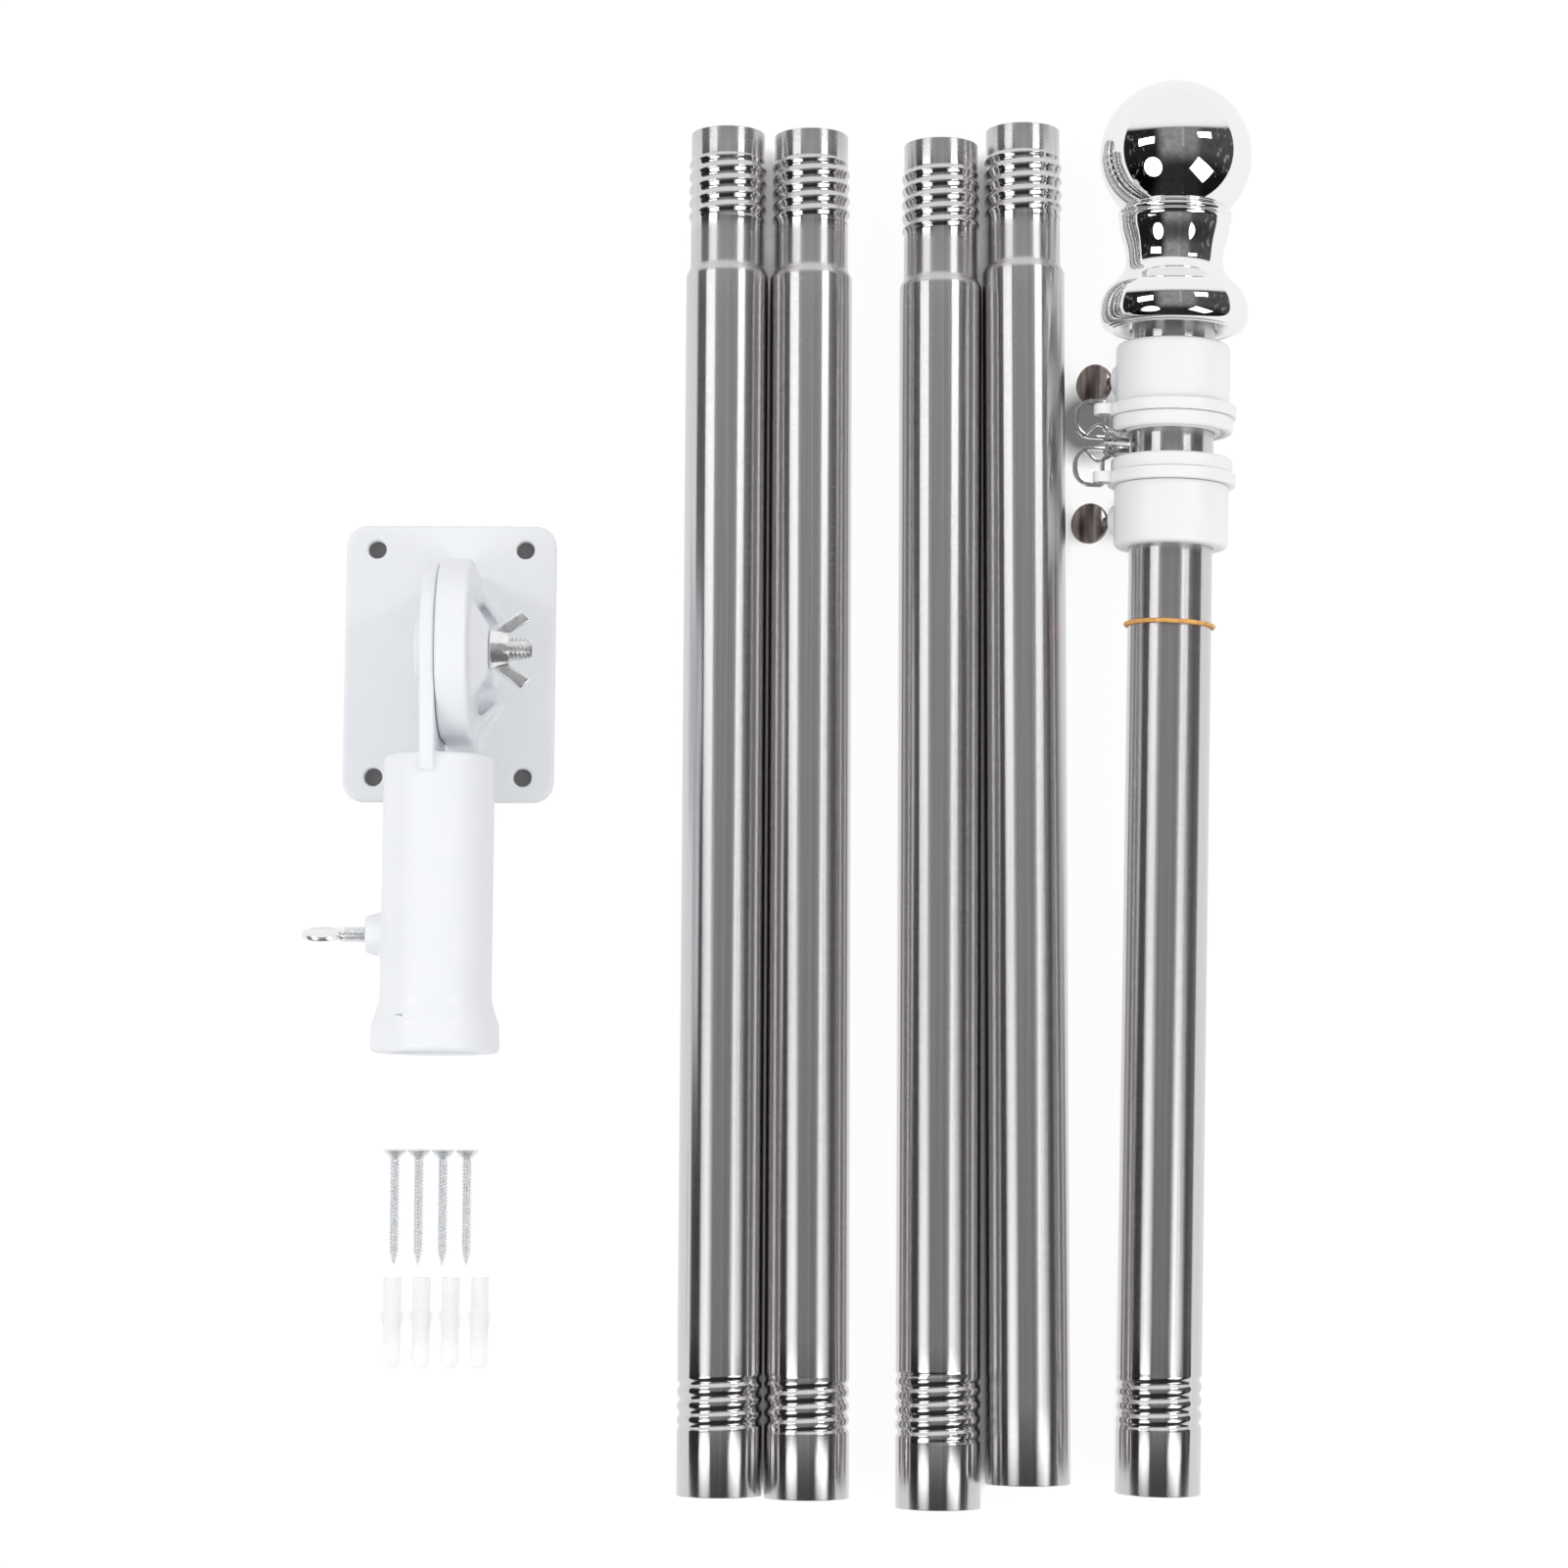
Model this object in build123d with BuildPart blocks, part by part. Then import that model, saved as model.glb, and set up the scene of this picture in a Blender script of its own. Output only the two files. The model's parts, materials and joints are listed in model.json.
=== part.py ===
"""Sectional flagpole kit laid out flat: five pole sections, finial, flag rings, wall bracket and its fixings.

Millimetres. X runs to the right, Y away from the bracket's socket mouth, Z up from the floor.
The origin is the centre of the wall plate's back face, which lies on the floor.
"""

from build123d import *
import os
from math import asin, cos, degrees, radians, sin, sqrt

# Pole sections
tube_diameter = 25.4
tube_wall = 0.8
body_length = 369.9
base_body_length = 367.6
spigot_length = 46.0
spigot_clearance = 0.5
shoulder_length = 4.0
thread_pitch = 4.2
thread_width = 1.9
ridge_height = 0.4
ridge_count = 5
first_ridge = 10.7
groove_depth = 0.4
groove_count = 4
long_groove_count = 5
first_groove = 20.5

# Layout of the sections on the floor
bracket_to_tubes = 39.7
pair_gap = 0.5
pairs_apart = 13.7
second_pair_gap = 1.3
top_apart = 13.1
middle_1_end = -250.6
middle_2_end = -251.2
middle_3_end = -253.9
middle_3_yaw = 0.17
base_end = -246.8
top_end = -249.4
top_yaw = 1.13

# Finial
ball_diameter = 46.7
foot_diameter = 45.4
foot_widest = 5.8
foot_rim_diameter = 38.0
foot_shoulder = 13.2
foot_shoulder_diameter = 41.0
finial_overlap = 19.5
waist_diameter = 31.6
waist_above_foot = 23.5
lip_diameter = 34.4
lip_height = 2.4
lip_slope = 0.35
ball_seat_diameter = 33.0
stem_height = 38.7
stem_socket_clearance = 0.1
foot_hollow_depth = 4.0

# Flag ring assemblies
collar_wall = 4.6
collar_length = 19.0
collar_clearance = 0.1
collar_round = 2.0
neck_wall = 2.0
ring_wall = 4.6
ring_thickness = 3.6
ring_clearance = 0.1
ring_end_play = 0.15
cap_wall = 3.65
cap_thickness = 4.5
cap_bevel = 1.4
collar_below_finial = 4.1
rings_apart = 8.1
upper_screw_roll = -36.0
lower_screw_roll = -33.0
ring_roll = 8.0
boss_diameter = 11.0
boss_reach = 2.2
lug_eye_diameter = 4.0
lug_wall = 1.3

# Clips on the flag rings
clip_strip = 0.8
clip_width = 3.4
clip_reach = 9.4
clip_mid_gap = 0.5
clip_face_gap = 0.6
clip_pole_gap = 0.8
clip_nose_bend = 1.2
clip_neck_bend = 1.5
clip_loop_bend = 5.4
gate_thickness = 1.5
rivet_diameter = 1.5
rivet_proud = 0.5

# Thumb screws
small_screw_diameter = 4.0
small_paddle_diameter = 12.6
large_screw_diameter = 5.0
large_paddle_diameter = 12.4
paddle_thickness = 1.7
screw_tip_gap = 0.15
screw_hole_clearance = 0.1
small_paddle_gap = 2.2
large_paddle_gap = 6.8
large_paddle_turn = 72.0

# Rubber band
band_below_collar = 23.7
band_width = 1.7
band_gap = 0.05

# Wall bracket
plate_width = 65.0
plate_length = 86.0
plate_thickness = 4.0
plate_corner = 6.5
plate_edge_round = 1.2
hole_diameter = 5.7
hole_spacing_x = 45.8
hole_spacing_y = 70.8
pivot_height = 32.0
lug_radius = 27.5
lug_thickness = 9.5
lug_edge_round = 1.2
buttress_depth = 4.9
buttress_root_radius = 14.5
buttress_seat_radius = 7.2
buttress_foot_reach = 14.0
rib_thickness = 2.2
rib_spread = 21.0
rib_turn = 54.0
rib_length = 10.0
rib_height = 16.0
mating_gap = 0.1
ear_radius = 26.0
ear_thickness = 4.5
ear_tongue_end = 38.5
ear_tongue_half = 18.0
ear_boss_radius = 9.5
ear_boss_height = 3.0
ear_edge_round = 1.0
socket_start = 32.5
socket_end = 121.0
socket_diameter = 33.2
socket_bore = 26.0
socket_end_wall = 5.0
socket_edge_round = 1.5
mouth_diameter = 38.6
mouth_length = 18.0
mouth_bead = 8.3
mouth_bead_rise = 0.4
mouth_slope = 0.3
socket_boss_y = -85.9
socket_boss_diameter = 14.5
socket_boss_tip = 11.0
socket_boss_reach = 4.4
socket_boss_root = 1.0

# Pivot bolt and wing nut
bolt_diameter = 8.0
bolt_end = 27.4
bolt_clearance = 0.3
head_flats = 13.0
head_height = 5.3
head_clearance = 0.15
nut_gap = 0.15
nut_bore_clearance = 0.05
nut_base_diameter = 11.8
nut_crown_diameter = 9.6
nut_height = 6.0
wing_span = 24.0
wing_top = 12.6
wing_thickness = 2.2
wing_foot = 1.2
wing_root_inset = 1.0
wing_corner_drop = 4.6
wing_corner_cut = 2.4

# Mounting screws and wall plugs
fixing_count = 4
screw_length = 35.0
screw_thread_diameter = 3.2
screw_head_diameter = 7.0
screw_head_height = 2.6
screw_point = 4.0
screw_head_y = -148.9
screws_first_x = -14.1
screw_spacing = 7.3
plug_length = 27.3
plug_diameter = 5.4
plug_bore = 2.6
plug_bore_depth = 19.0
plug_slot = 0.8
plug_slot_length = 17.0
plug_tip_diameter = 2.8
plug_fin = 0.9
plug_fin_length = 6.8
plug_y = -187.1
plugs_first_x = -14.2
plug_spacing = 8.8

tube_radius = tube_diameter / 2
bore_radius = tube_radius - tube_wall
neck_radius = bore_radius - spigot_clearance

os.makedirs("parts", exist_ok=True)


def save(builder, name):
    """Labels a finished piece and writes its STEP file."""
    builder.part.label = name
    export_step(builder.part, f"parts/{name}.step")


def lay_plane(x, y, z, yaw=0.0, rise=0.0):
    """Plane of a piece that lies down: local X along its axis, local Z up. Yaw turns it from +Y towards +X."""
    across = radians(yaw)
    up = radians(rise)
    along = Vector(sin(across) * cos(up), cos(across) * cos(up), sin(up))
    upward = Vector(-sin(across) * sin(up), -cos(across) * sin(up), cos(up))
    return Plane(origin=(x, y, z), x_dir=along, z_dir=upward)


def long_axis(lay):
    """The axis that a lying piece is turned about."""
    return Axis(lay.origin, lay.x_dir)


def groove_points(count):
    """Outline of the rolled grooves near a section's open end."""
    points = []
    for i in range(count):
        middle = first_groove + i * thread_pitch
        points.append((middle - thread_width / 2, tube_radius))
        points.append((middle, tube_radius - groove_depth))
        points.append((middle + thread_width / 2, tube_radius))
    return points


def spigot_points(body):
    """Outline of the shoulder, the reduced spigot and its rolled ridges."""
    tip = body + spigot_length
    points = [(body, tube_radius), (body + shoulder_length, neck_radius)]
    for i in reversed(range(ridge_count)):
        middle = tip - first_ridge - i * thread_pitch
        points.append((middle - thread_width / 2, neck_radius))
        points.append((middle, neck_radius + ridge_height))
        points.append((middle + thread_width / 2, neck_radius))
    points.append((tip, neck_radius))
    points.append((tip, neck_radius - tube_wall))
    points.append((body + shoulder_length, neck_radius - tube_wall))
    points.append((body, bore_radius))
    return points


def pole_section(lay, body, grooves, spigot):
    """A rolled tube: an open end with grooves, and a spigot or a plain end at the other."""
    outline = [(0, bore_radius), (0, tube_radius)] + groove_points(grooves)
    if spigot:
        outline += spigot_points(body)
    else:
        outline += [(body, tube_radius), (body, bore_radius)]
    with BuildPart() as section:
        with BuildSketch(lay):
            with BuildLine():
                Polyline(*outline, close=True)
            make_face()
        revolve(axis=long_axis(lay))
    return section


# Four loose sections, side by side in two pairs
middle_1_x = plate_width / 2 + bracket_to_tubes + tube_radius
middle_2_x = middle_1_x + tube_diameter + pair_gap
middle_3_x = middle_2_x + tube_diameter + pairs_apart
base_x = middle_3_x + tube_diameter + second_pair_gap
top_x = base_x + tube_diameter + top_apart

loose_sections = {
    "middle_section_1": (lay_plane(middle_1_x, middle_1_end, tube_radius), body_length, groove_count),
    "middle_section_2": (lay_plane(middle_2_x, middle_2_end, tube_radius), body_length, groove_count),
    "middle_section_3": (
        lay_plane(middle_3_x, middle_3_end, tube_radius, middle_3_yaw),
        body_length,
        long_groove_count,
    ),
    "base_section": (lay_plane(base_x, base_end, tube_radius), base_body_length, 0),
}
for name, (lay, body, grooves) in loose_sections.items():
    save(pole_section(lay, body, grooves, True), name)

# Top section: its open end and the finial's foot rest on the floor, so it rises a little
foot_above_end = body_length - finial_overlap
foot_radius = foot_diameter / 2
foot_middle = foot_above_end + foot_widest
top_rise = asin((foot_radius - tube_radius) / foot_middle)
top_lay = lay_plane(top_x, top_end, tube_radius * cos(top_rise), top_yaw, degrees(top_rise))
top_axis = long_axis(top_lay)
save(pole_section(top_lay, body_length, groove_count, False), "top_section")

# Finial stem: rounded foot, waist and lip, with the hollow that fits over the tube
stem_top = foot_above_end + stem_height
socket_radius = tube_radius + stem_socket_clearance
hollow_top = body_length + stem_socket_clearance
hollow_floor = foot_above_end + foot_hollow_depth
with BuildPart() as finial_stem:
    with BuildSketch(top_lay):
        with BuildLine():
            rim = (foot_above_end, foot_rim_diameter / 2)
            shoulder = (foot_above_end + foot_shoulder, foot_shoulder_diameter / 2)
            waist = (foot_above_end + waist_above_foot, waist_diameter / 2)
            lip_low = (stem_top - lip_height, lip_diameter / 2)
            lip_high = (stem_top, ball_seat_diameter / 2)
            foot = ThreePointArc(rim, (foot_middle, foot_radius), shoulder)
            Spline(shoulder, waist, lip_low, tangents=(foot % 1, (1, lip_slope)))
            Polyline(
                lip_low,
                lip_high,
                (stem_top, 0),
                (hollow_top, 0),
                (hollow_top, socket_radius),
                (hollow_floor, socket_radius),
                (hollow_floor, foot_rim_diameter / 2),
                rim,
            )
        make_face()
    revolve(axis=top_axis)
save(finial_stem, "finial_stem")

# Finial ball, cut flat where it sits on the lip
ball_radius = ball_diameter / 2
seat_radius = ball_seat_diameter / 2
ball_centre = stem_top + sqrt(ball_radius**2 - seat_radius**2)
with BuildPart() as finial_ball:
    with BuildSketch(top_lay):
        with BuildLine():
            ThreePointArc(
                (stem_top, seat_radius), (ball_centre, ball_radius), (ball_centre + ball_radius, 0)
            )
            Polyline((ball_centre + ball_radius, 0), (stem_top, 0), (stem_top, seat_radius))
        make_face()
    revolve(axis=top_axis)
save(finial_ball, "finial_ball")

# The two ring sets hang below the finial, and the band sits below them
ring_set_length = collar_length + ring_thickness + cap_thickness + 2 * ring_end_play
upper_collar_above_end = foot_above_end - collar_below_finial
lower_collar_above_end = upper_collar_above_end - 2 * ring_set_length - rings_apart
band_above_end = lower_collar_above_end - band_below_collar

# Rubber band round the top section
band_radius = band_width / 2
with BuildPart() as rubber_band:
    with BuildSketch(top_lay):
        with Locations((band_above_end, tube_radius + band_gap + band_radius)):
            Circle(band_radius)
    revolve(axis=top_axis)
save(rubber_band, "rubber_band")


def rolled_plane(along, roll):
    """Plane at a station on the top section: local X along it, local Y out to the left, raised by the roll."""
    station = top_lay.origin + top_lay.x_dir * along
    upward = top_lay.z_dir * cos(radians(roll)) - top_lay.y_dir * sin(radians(roll))
    return Plane(origin=station, x_dir=top_lay.x_dir, z_dir=upward)


def thumb_screw(plane, shank_start, shank_end, shank_diameter, paddle_diameter, paddle_turn):
    """A screw along local Y with a flat round paddle; the paddle turns about the screw."""
    facing = plane.z_dir * cos(radians(paddle_turn)) + plane.x_dir * sin(radians(paddle_turn))
    sideways = plane.x_dir * cos(radians(paddle_turn)) - plane.z_dir * sin(radians(paddle_turn))
    with BuildPart() as screw:
        with BuildSketch(Plane(origin=plane.origin + plane.y_dir * shank_start, z_dir=plane.y_dir)):
            Circle(shank_diameter / 2)
        extrude(amount=shank_end + paddle_thickness - shank_start)
        with BuildSketch(Plane(origin=plane.origin, x_dir=sideways, z_dir=facing)):
            with Locations((0, shank_end + paddle_diameter / 2)):
                Circle(paddle_diameter / 2)
        extrude(amount=paddle_thickness / 2, both=True)
    return screw


# Places on a ring set: along the pole from the ring's middle towards the other set, and out from the pole's axis
collar_inner = tube_radius + collar_clearance
collar_outer = collar_inner + collar_wall
neck = collar_inner + neck_wall
ring_inner = neck + ring_clearance
ring_outer = ring_inner + ring_wall
cap_inner = neck + ring_clearance / 2
cap_outer = cap_inner + cap_wall
half_ring = ring_thickness / 2
cap_face = half_ring + ring_end_play + cap_thickness
eye_centre = ring_outer + lug_eye_diameter / 2 - lug_wall / 4
clip_back = -(half_ring + clip_face_gap + clip_strip / 2)
clip_nose = cap_face + clip_face_gap + clip_strip / 2
clip_near = tube_radius + clip_pole_gap
clip_far = eye_centre + clip_reach
gate_along = cap_face + rings_apart / 2 - clip_mid_gap - gate_thickness / 2
gate_rivet_out = eye_centre - lug_eye_diameter / 2


def ring_set(prefix, collar_start, facing, screw_roll):
    """Collar, swivel ring, retaining cap, clip and thumb screw; facing is +1 where the collar is the low end."""
    collar_mid = collar_start + facing * collar_length / 2
    collar_end = collar_start + facing * collar_length
    ring_near = collar_end + facing * ring_end_play
    ring_far = ring_near + facing * ring_thickness
    ring_mid = (ring_near + ring_far) / 2
    cap_near = ring_far + facing * ring_end_play
    cap_far = cap_near + facing * cap_thickness
    screw_plane = rolled_plane(collar_mid, screw_roll)
    boss_tip = collar_outer + boss_reach

    with BuildPart() as collar:
        with BuildSketch(top_lay):
            with BuildLine():
                Polyline(
                    (collar_start, collar_inner),
                    (collar_start, collar_outer - collar_round),
                    (collar_start + facing * collar_round, collar_outer),
                    (collar_end, collar_outer),
                    (collar_end, neck),
                    (cap_far, neck),
                    (cap_far, collar_inner),
                    close=True,
                )
            make_face()
        revolve(axis=top_axis)
        with BuildSketch(Plane(origin=screw_plane.origin + screw_plane.y_dir * neck, z_dir=screw_plane.y_dir)):
            Circle(boss_diameter / 2)
        extrude(amount=boss_tip - neck)
        with BuildSketch(Plane(origin=screw_plane.origin, z_dir=screw_plane.y_dir)):
            Circle(small_screw_diameter / 2 + screw_hole_clearance)
        extrude(amount=boss_tip, mode=Mode.SUBTRACT)
    save(collar, f"{prefix}_collar")

    with BuildPart() as cap:
        with BuildSketch(top_lay):
            with BuildLine():
                Polyline(
                    (cap_near, cap_inner),
                    (cap_near, cap_outer),
                    (cap_far, cap_outer),
                    (cap_far, cap_inner + cap_bevel),
                    (cap_far - facing * cap_bevel, cap_inner),
                    close=True,
                )
            make_face()
        revolve(axis=top_axis)
    save(cap, f"{prefix}_retaining_cap")

    ring_plane = rolled_plane(ring_mid, ring_roll)
    face = Plane(
        origin=ring_plane.origin - ring_plane.x_dir * ring_thickness / 2,
        x_dir=ring_plane.y_dir,
        z_dir=ring_plane.x_dir,
    )
    with BuildPart() as swivel_ring:
        with BuildSketch(face):
            Circle(ring_outer)
            with Locations((eye_centre, 0)):
                Circle(lug_eye_diameter / 2 + lug_wall)
            Circle(ring_inner, mode=Mode.SUBTRACT)
            with Locations((eye_centre, 0)):
                Circle(lug_eye_diameter / 2, mode=Mode.SUBTRACT)
        extrude(amount=ring_thickness)
    save(swivel_ring, f"{prefix}_swivel_ring")

    with BuildPart() as clip:
        with BuildSketch(ring_plane):
            with BuildLine() as strip:
                route = [
                    (clip_nose, clip_near),
                    (clip_nose, eye_centre - lug_eye_diameter / 2 - lug_wall),
                    (cap_face - clip_strip, eye_centre),
                    (clip_back, eye_centre),
                    (clip_back, clip_far),
                    (gate_along, clip_far),
                    (gate_along, eye_centre),
                ]
                FilletPolyline(
                    *[(facing * along, out) for along, out in route],
                    radius=[clip_nose_bend, clip_neck_bend, clip_strip, clip_loop_bend, clip_loop_bend],
                )
            trace(lines=strip.line, line_width=clip_strip)
        extrude(amount=clip_width / 2, both=True)
    save(clip, f"{prefix}_clip_hook")

    gate_out = gate_rivet_out + clip_strip
    with BuildPart() as gate:
        with BuildSketch(ring_plane):
            with Locations((facing * gate_along, (clip_near + gate_out) / 2)):
                Rectangle(gate_thickness, gate_out - clip_near)
        extrude(amount=clip_width / 2, both=True)
        with BuildSketch(ring_plane):
            with Locations((facing * gate_along, gate_rivet_out)):
                Circle(rivet_diameter / 2)
        extrude(amount=clip_width / 2 + rivet_proud, both=True)
    save(gate, f"{prefix}_clip_gate")

    screw = thumb_screw(
        screw_plane,
        tube_radius + screw_tip_gap,
        boss_tip + small_paddle_gap,
        small_screw_diameter,
        small_paddle_diameter,
        0,
    )
    save(screw, f"{prefix}_thumb_screw")
    return screw_plane, ring_plane


lower = ring_set("lower", lower_collar_above_end, 1, lower_screw_roll)
upper = ring_set("upper", upper_collar_above_end, -1, upper_screw_roll)

# Wall plate with the fixed lug, its cone-shaped buttress and two diagonal ribs
seat_x = lug_thickness + buttress_depth
lug_side = Plane.YZ
sunk = plate_thickness / 2
with BuildPart() as wall_plate:
    with BuildSketch():
        RectangleRounded(plate_width, plate_length, plate_corner)
    extrude(amount=plate_thickness)
    fillet(wall_plate.faces().sort_by(Axis.Z)[-1].edges(), plate_edge_round)
    with BuildSketch(lug_side):
        with Locations((0, pivot_height)):
            Circle(lug_radius)
        with Locations((0, (pivot_height + sunk) / 2)):
            Rectangle(2 * lug_radius, pivot_height - sunk)
    extrude(amount=lug_thickness)
    lug_rims = wall_plate.edges().filter_by(GeomType.CIRCLE).sort_by(Axis.Z)[-2:]
    fillet(lug_rims, lug_edge_round)
    with BuildSketch(lug_side.offset(lug_thickness)):
        with Locations((0, pivot_height)):
            Circle(buttress_root_radius)
    with BuildSketch(lug_side.offset(seat_x)):
        with Locations((0, pivot_height)):
            Circle(buttress_seat_radius)
    loft()
    with BuildSketch(Plane.XZ):
        with BuildLine():
            Polyline(
                (lug_thickness / 2, sunk),
                (buttress_foot_reach, sunk),
                (buttress_foot_reach, plate_thickness),
                (seat_x, pivot_height - buttress_seat_radius),
                (seat_x, pivot_height),
                (lug_thickness / 2, pivot_height),
                close=True,
            )
        make_face()
    extrude(amount=buttress_seat_radius, both=True)
    for side in (1, -1):
        spread = radians(rib_turn)
        rib_plane = Plane(
            origin=(lug_thickness, side * rib_spread, 0),
            x_dir=(cos(spread), -side * sin(spread), 0),
            z_dir=(-side * sin(spread), -cos(spread), 0),
        )
        with BuildSketch(rib_plane):
            with BuildLine():
                Polyline(
                    (-rib_thickness, sunk),
                    (rib_length, sunk),
                    (rib_length, plate_thickness + rib_thickness),
                    (-rib_thickness, plate_thickness + rib_height),
                    close=True,
                )
            make_face()
        extrude(amount=rib_thickness / 2, both=True)
    with Locations(Plane(origin=(0, 0, plate_thickness))):
        with GridLocations(hole_spacing_x, hole_spacing_y, 2, 2):
            Hole(hole_diameter / 2)
    with BuildSketch(lug_side):
        with Locations((0, pivot_height)):
            Circle(bolt_diameter / 2 + bolt_clearance)
    extrude(amount=seat_x, mode=Mode.SUBTRACT)
save(wall_plate, "wall_plate")

# Socket arm: ear, tongue, socket tube with its flared mouth, and the screw boss
ear_face = -mating_gap
ear_back = ear_face - ear_thickness
socket_radius_out = socket_diameter / 2
socket_plane = Plane(origin=(0, 0, pivot_height), x_dir=(0, -1, 0), z_dir=(0, 0, 1))
socket_axis = Axis(socket_plane.origin, socket_plane.x_dir)
boss_plane = Plane(origin=(0, socket_boss_y, pivot_height), x_dir=(0, 1, 0), z_dir=(-1, 0, 0))
with BuildPart() as socket_arm:
    with BuildSketch(lug_side.offset(ear_back)):
        with Locations((0, pivot_height)):
            Circle(ear_radius)
        with BuildLine():
            Polyline(
                (0, pivot_height + ear_radius),
                (-ear_tongue_end, pivot_height + ear_tongue_half),
                (-ear_tongue_end, pivot_height - ear_tongue_half),
                (0, pivot_height - ear_radius),
                close=True,
            )
        make_face()
    extrude(amount=ear_thickness)
    fillet(socket_arm.edges().group_by(Axis.X)[0], ear_edge_round)
    with BuildSketch(lug_side.offset(ear_back)):
        with Locations((0, pivot_height)):
            Circle(ear_boss_radius)
    extrude(amount=-ear_boss_height)
    with BuildSketch(socket_plane) as socket_outline:
        with BuildLine():
            flare_start = (socket_end - mouth_length, socket_radius_out)
            bead_start = (socket_end - mouth_bead, mouth_diameter / 2 - mouth_bead_rise)
            Polyline((socket_start, 0), (socket_start, socket_radius_out), flare_start)
            Spline(flare_start, bead_start, tangents=((1, 0), (1, mouth_slope)))
            Polyline(bead_start, (socket_end, mouth_diameter / 2), (socket_end, 0), (socket_start, 0))
        make_face()
        corners = socket_outline.vertices().sort_by(Axis.Y)[-4:].sort_by(Axis.X)
        fillet([corners[0], corners[-1]], socket_edge_round)
    revolve(axis=socket_axis)
    with BuildSketch(boss_plane.offset(socket_bore / 2 + socket_boss_root)):
        Circle(socket_boss_diameter / 2)
    with BuildSketch(boss_plane.offset(socket_radius_out + socket_boss_reach)):
        Circle(socket_boss_tip / 2)
    loft()
    with BuildSketch(socket_plane):
        with BuildLine():
            Polyline(
                (socket_start + socket_end_wall, 0),
                (socket_start + socket_end_wall, socket_bore / 2),
                (socket_end, socket_bore / 2),
                (socket_end, 0),
                close=True,
            )
        make_face()
    revolve(axis=socket_axis, mode=Mode.SUBTRACT)
    with BuildSketch(boss_plane):
        Circle(large_screw_diameter / 2 + screw_hole_clearance)
    extrude(amount=socket_radius_out + socket_boss_reach, mode=Mode.SUBTRACT)
    with BuildSketch(lug_side):
        with Locations((0, pivot_height)):
            Circle(bolt_diameter / 2 + bolt_clearance)
    extrude(amount=ear_back - ear_boss_height, mode=Mode.SUBTRACT)
    with BuildSketch(lug_side.offset(ear_back - ear_boss_height)):
        with Locations((0, pivot_height)):
            RegularPolygon(head_flats / 2 + head_clearance, 6, major_radius=False)
    extrude(amount=head_height, mode=Mode.SUBTRACT)
save(socket_arm, "socket_arm")

# Pivot bolt, its hexagon head sunk in the ear's boss
head_seat = ear_back - ear_boss_height + head_height
with BuildPart() as pivot_bolt:
    with BuildSketch(lug_side.offset(head_seat)):
        with Locations((0, pivot_height)):
            RegularPolygon(head_flats / 2, 6, major_radius=False)
    extrude(amount=-head_height)
    with BuildSketch(lug_side.offset(head_seat)):
        with Locations((0, pivot_height)):
            Circle(bolt_diameter / 2)
    extrude(amount=bolt_end - head_seat)
save(pivot_bolt, "pivot_bolt")

# Wing nut
nut_start = seat_x + nut_gap
nut_plane = Plane(origin=(0, 0, pivot_height), x_dir=(1, 0, 0), z_dir=(0, 0, 1))
with BuildPart() as wing_nut:
    with BuildSketch(nut_plane):
        with BuildLine():
            Polyline(
                (nut_start, 0),
                (nut_start, nut_base_diameter / 2),
                (nut_start + nut_height, nut_crown_diameter / 2),
                (nut_start + nut_height, 0),
                close=True,
            )
        make_face()
    revolve(axis=Axis(nut_plane.origin, nut_plane.x_dir))
    with BuildSketch(nut_plane) as wing:
        with BuildLine():
            Polyline(
                (nut_start + wing_foot / 2, nut_crown_diameter / 2 - wing_root_inset),
                (nut_start + wing_foot, nut_base_diameter / 2),
                (nut_start + wing_top - wing_corner_drop, wing_span / 2),
                (nut_start + wing_top, wing_span / 2 - wing_corner_cut),
                (nut_start + nut_height - wing_foot / 2, nut_crown_diameter / 2 - wing_root_inset),
                close=True,
            )
        make_face()
        mirror(about=Plane.XZ)
    extrude(amount=wing_thickness / 2, both=True)
    with BuildSketch(Plane(origin=(nut_start, 0, pivot_height), z_dir=(1, 0, 0))):
        Circle(bolt_diameter / 2 + nut_bore_clearance)
    extrude(amount=wing_top, mode=Mode.SUBTRACT)
save(wing_nut, "wing_nut")

# Thumb screw that clamps the pole in the socket
socket_screw_plane = Plane(origin=(0, socket_boss_y, pivot_height), x_dir=(0, 1, 0), z_dir=(0, 0, 1))
save(
    thumb_screw(
        socket_screw_plane,
        socket_bore / 2 + screw_tip_gap,
        socket_radius_out + socket_boss_reach + large_paddle_gap,
        large_screw_diameter,
        large_paddle_diameter,
        large_paddle_turn,
    ),
    "socket_thumb_screw",
)

# Four countersunk screws in a row, each lying on its head's rim and its thread
head_radius = screw_head_diameter / 2
thread_radius = screw_thread_diameter / 2
screw_drop = degrees(asin((head_radius - thread_radius) / (screw_length - screw_point)))
for i in range(fixing_count):
    lay = lay_plane(screws_first_x + i * screw_spacing, screw_head_y, head_radius, 180, -screw_drop)
    with BuildPart() as screw:
        with BuildSketch(lay):
            with BuildLine():
                Polyline(
                    (0, 0),
                    (0, head_radius),
                    (screw_head_height, thread_radius),
                    (screw_length - screw_point, thread_radius),
                    (screw_length, 0),
                    close=True,
                )
            make_face()
        revolve(axis=long_axis(lay))
    save(screw, f"mounting_screw_{i + 1}")

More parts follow.
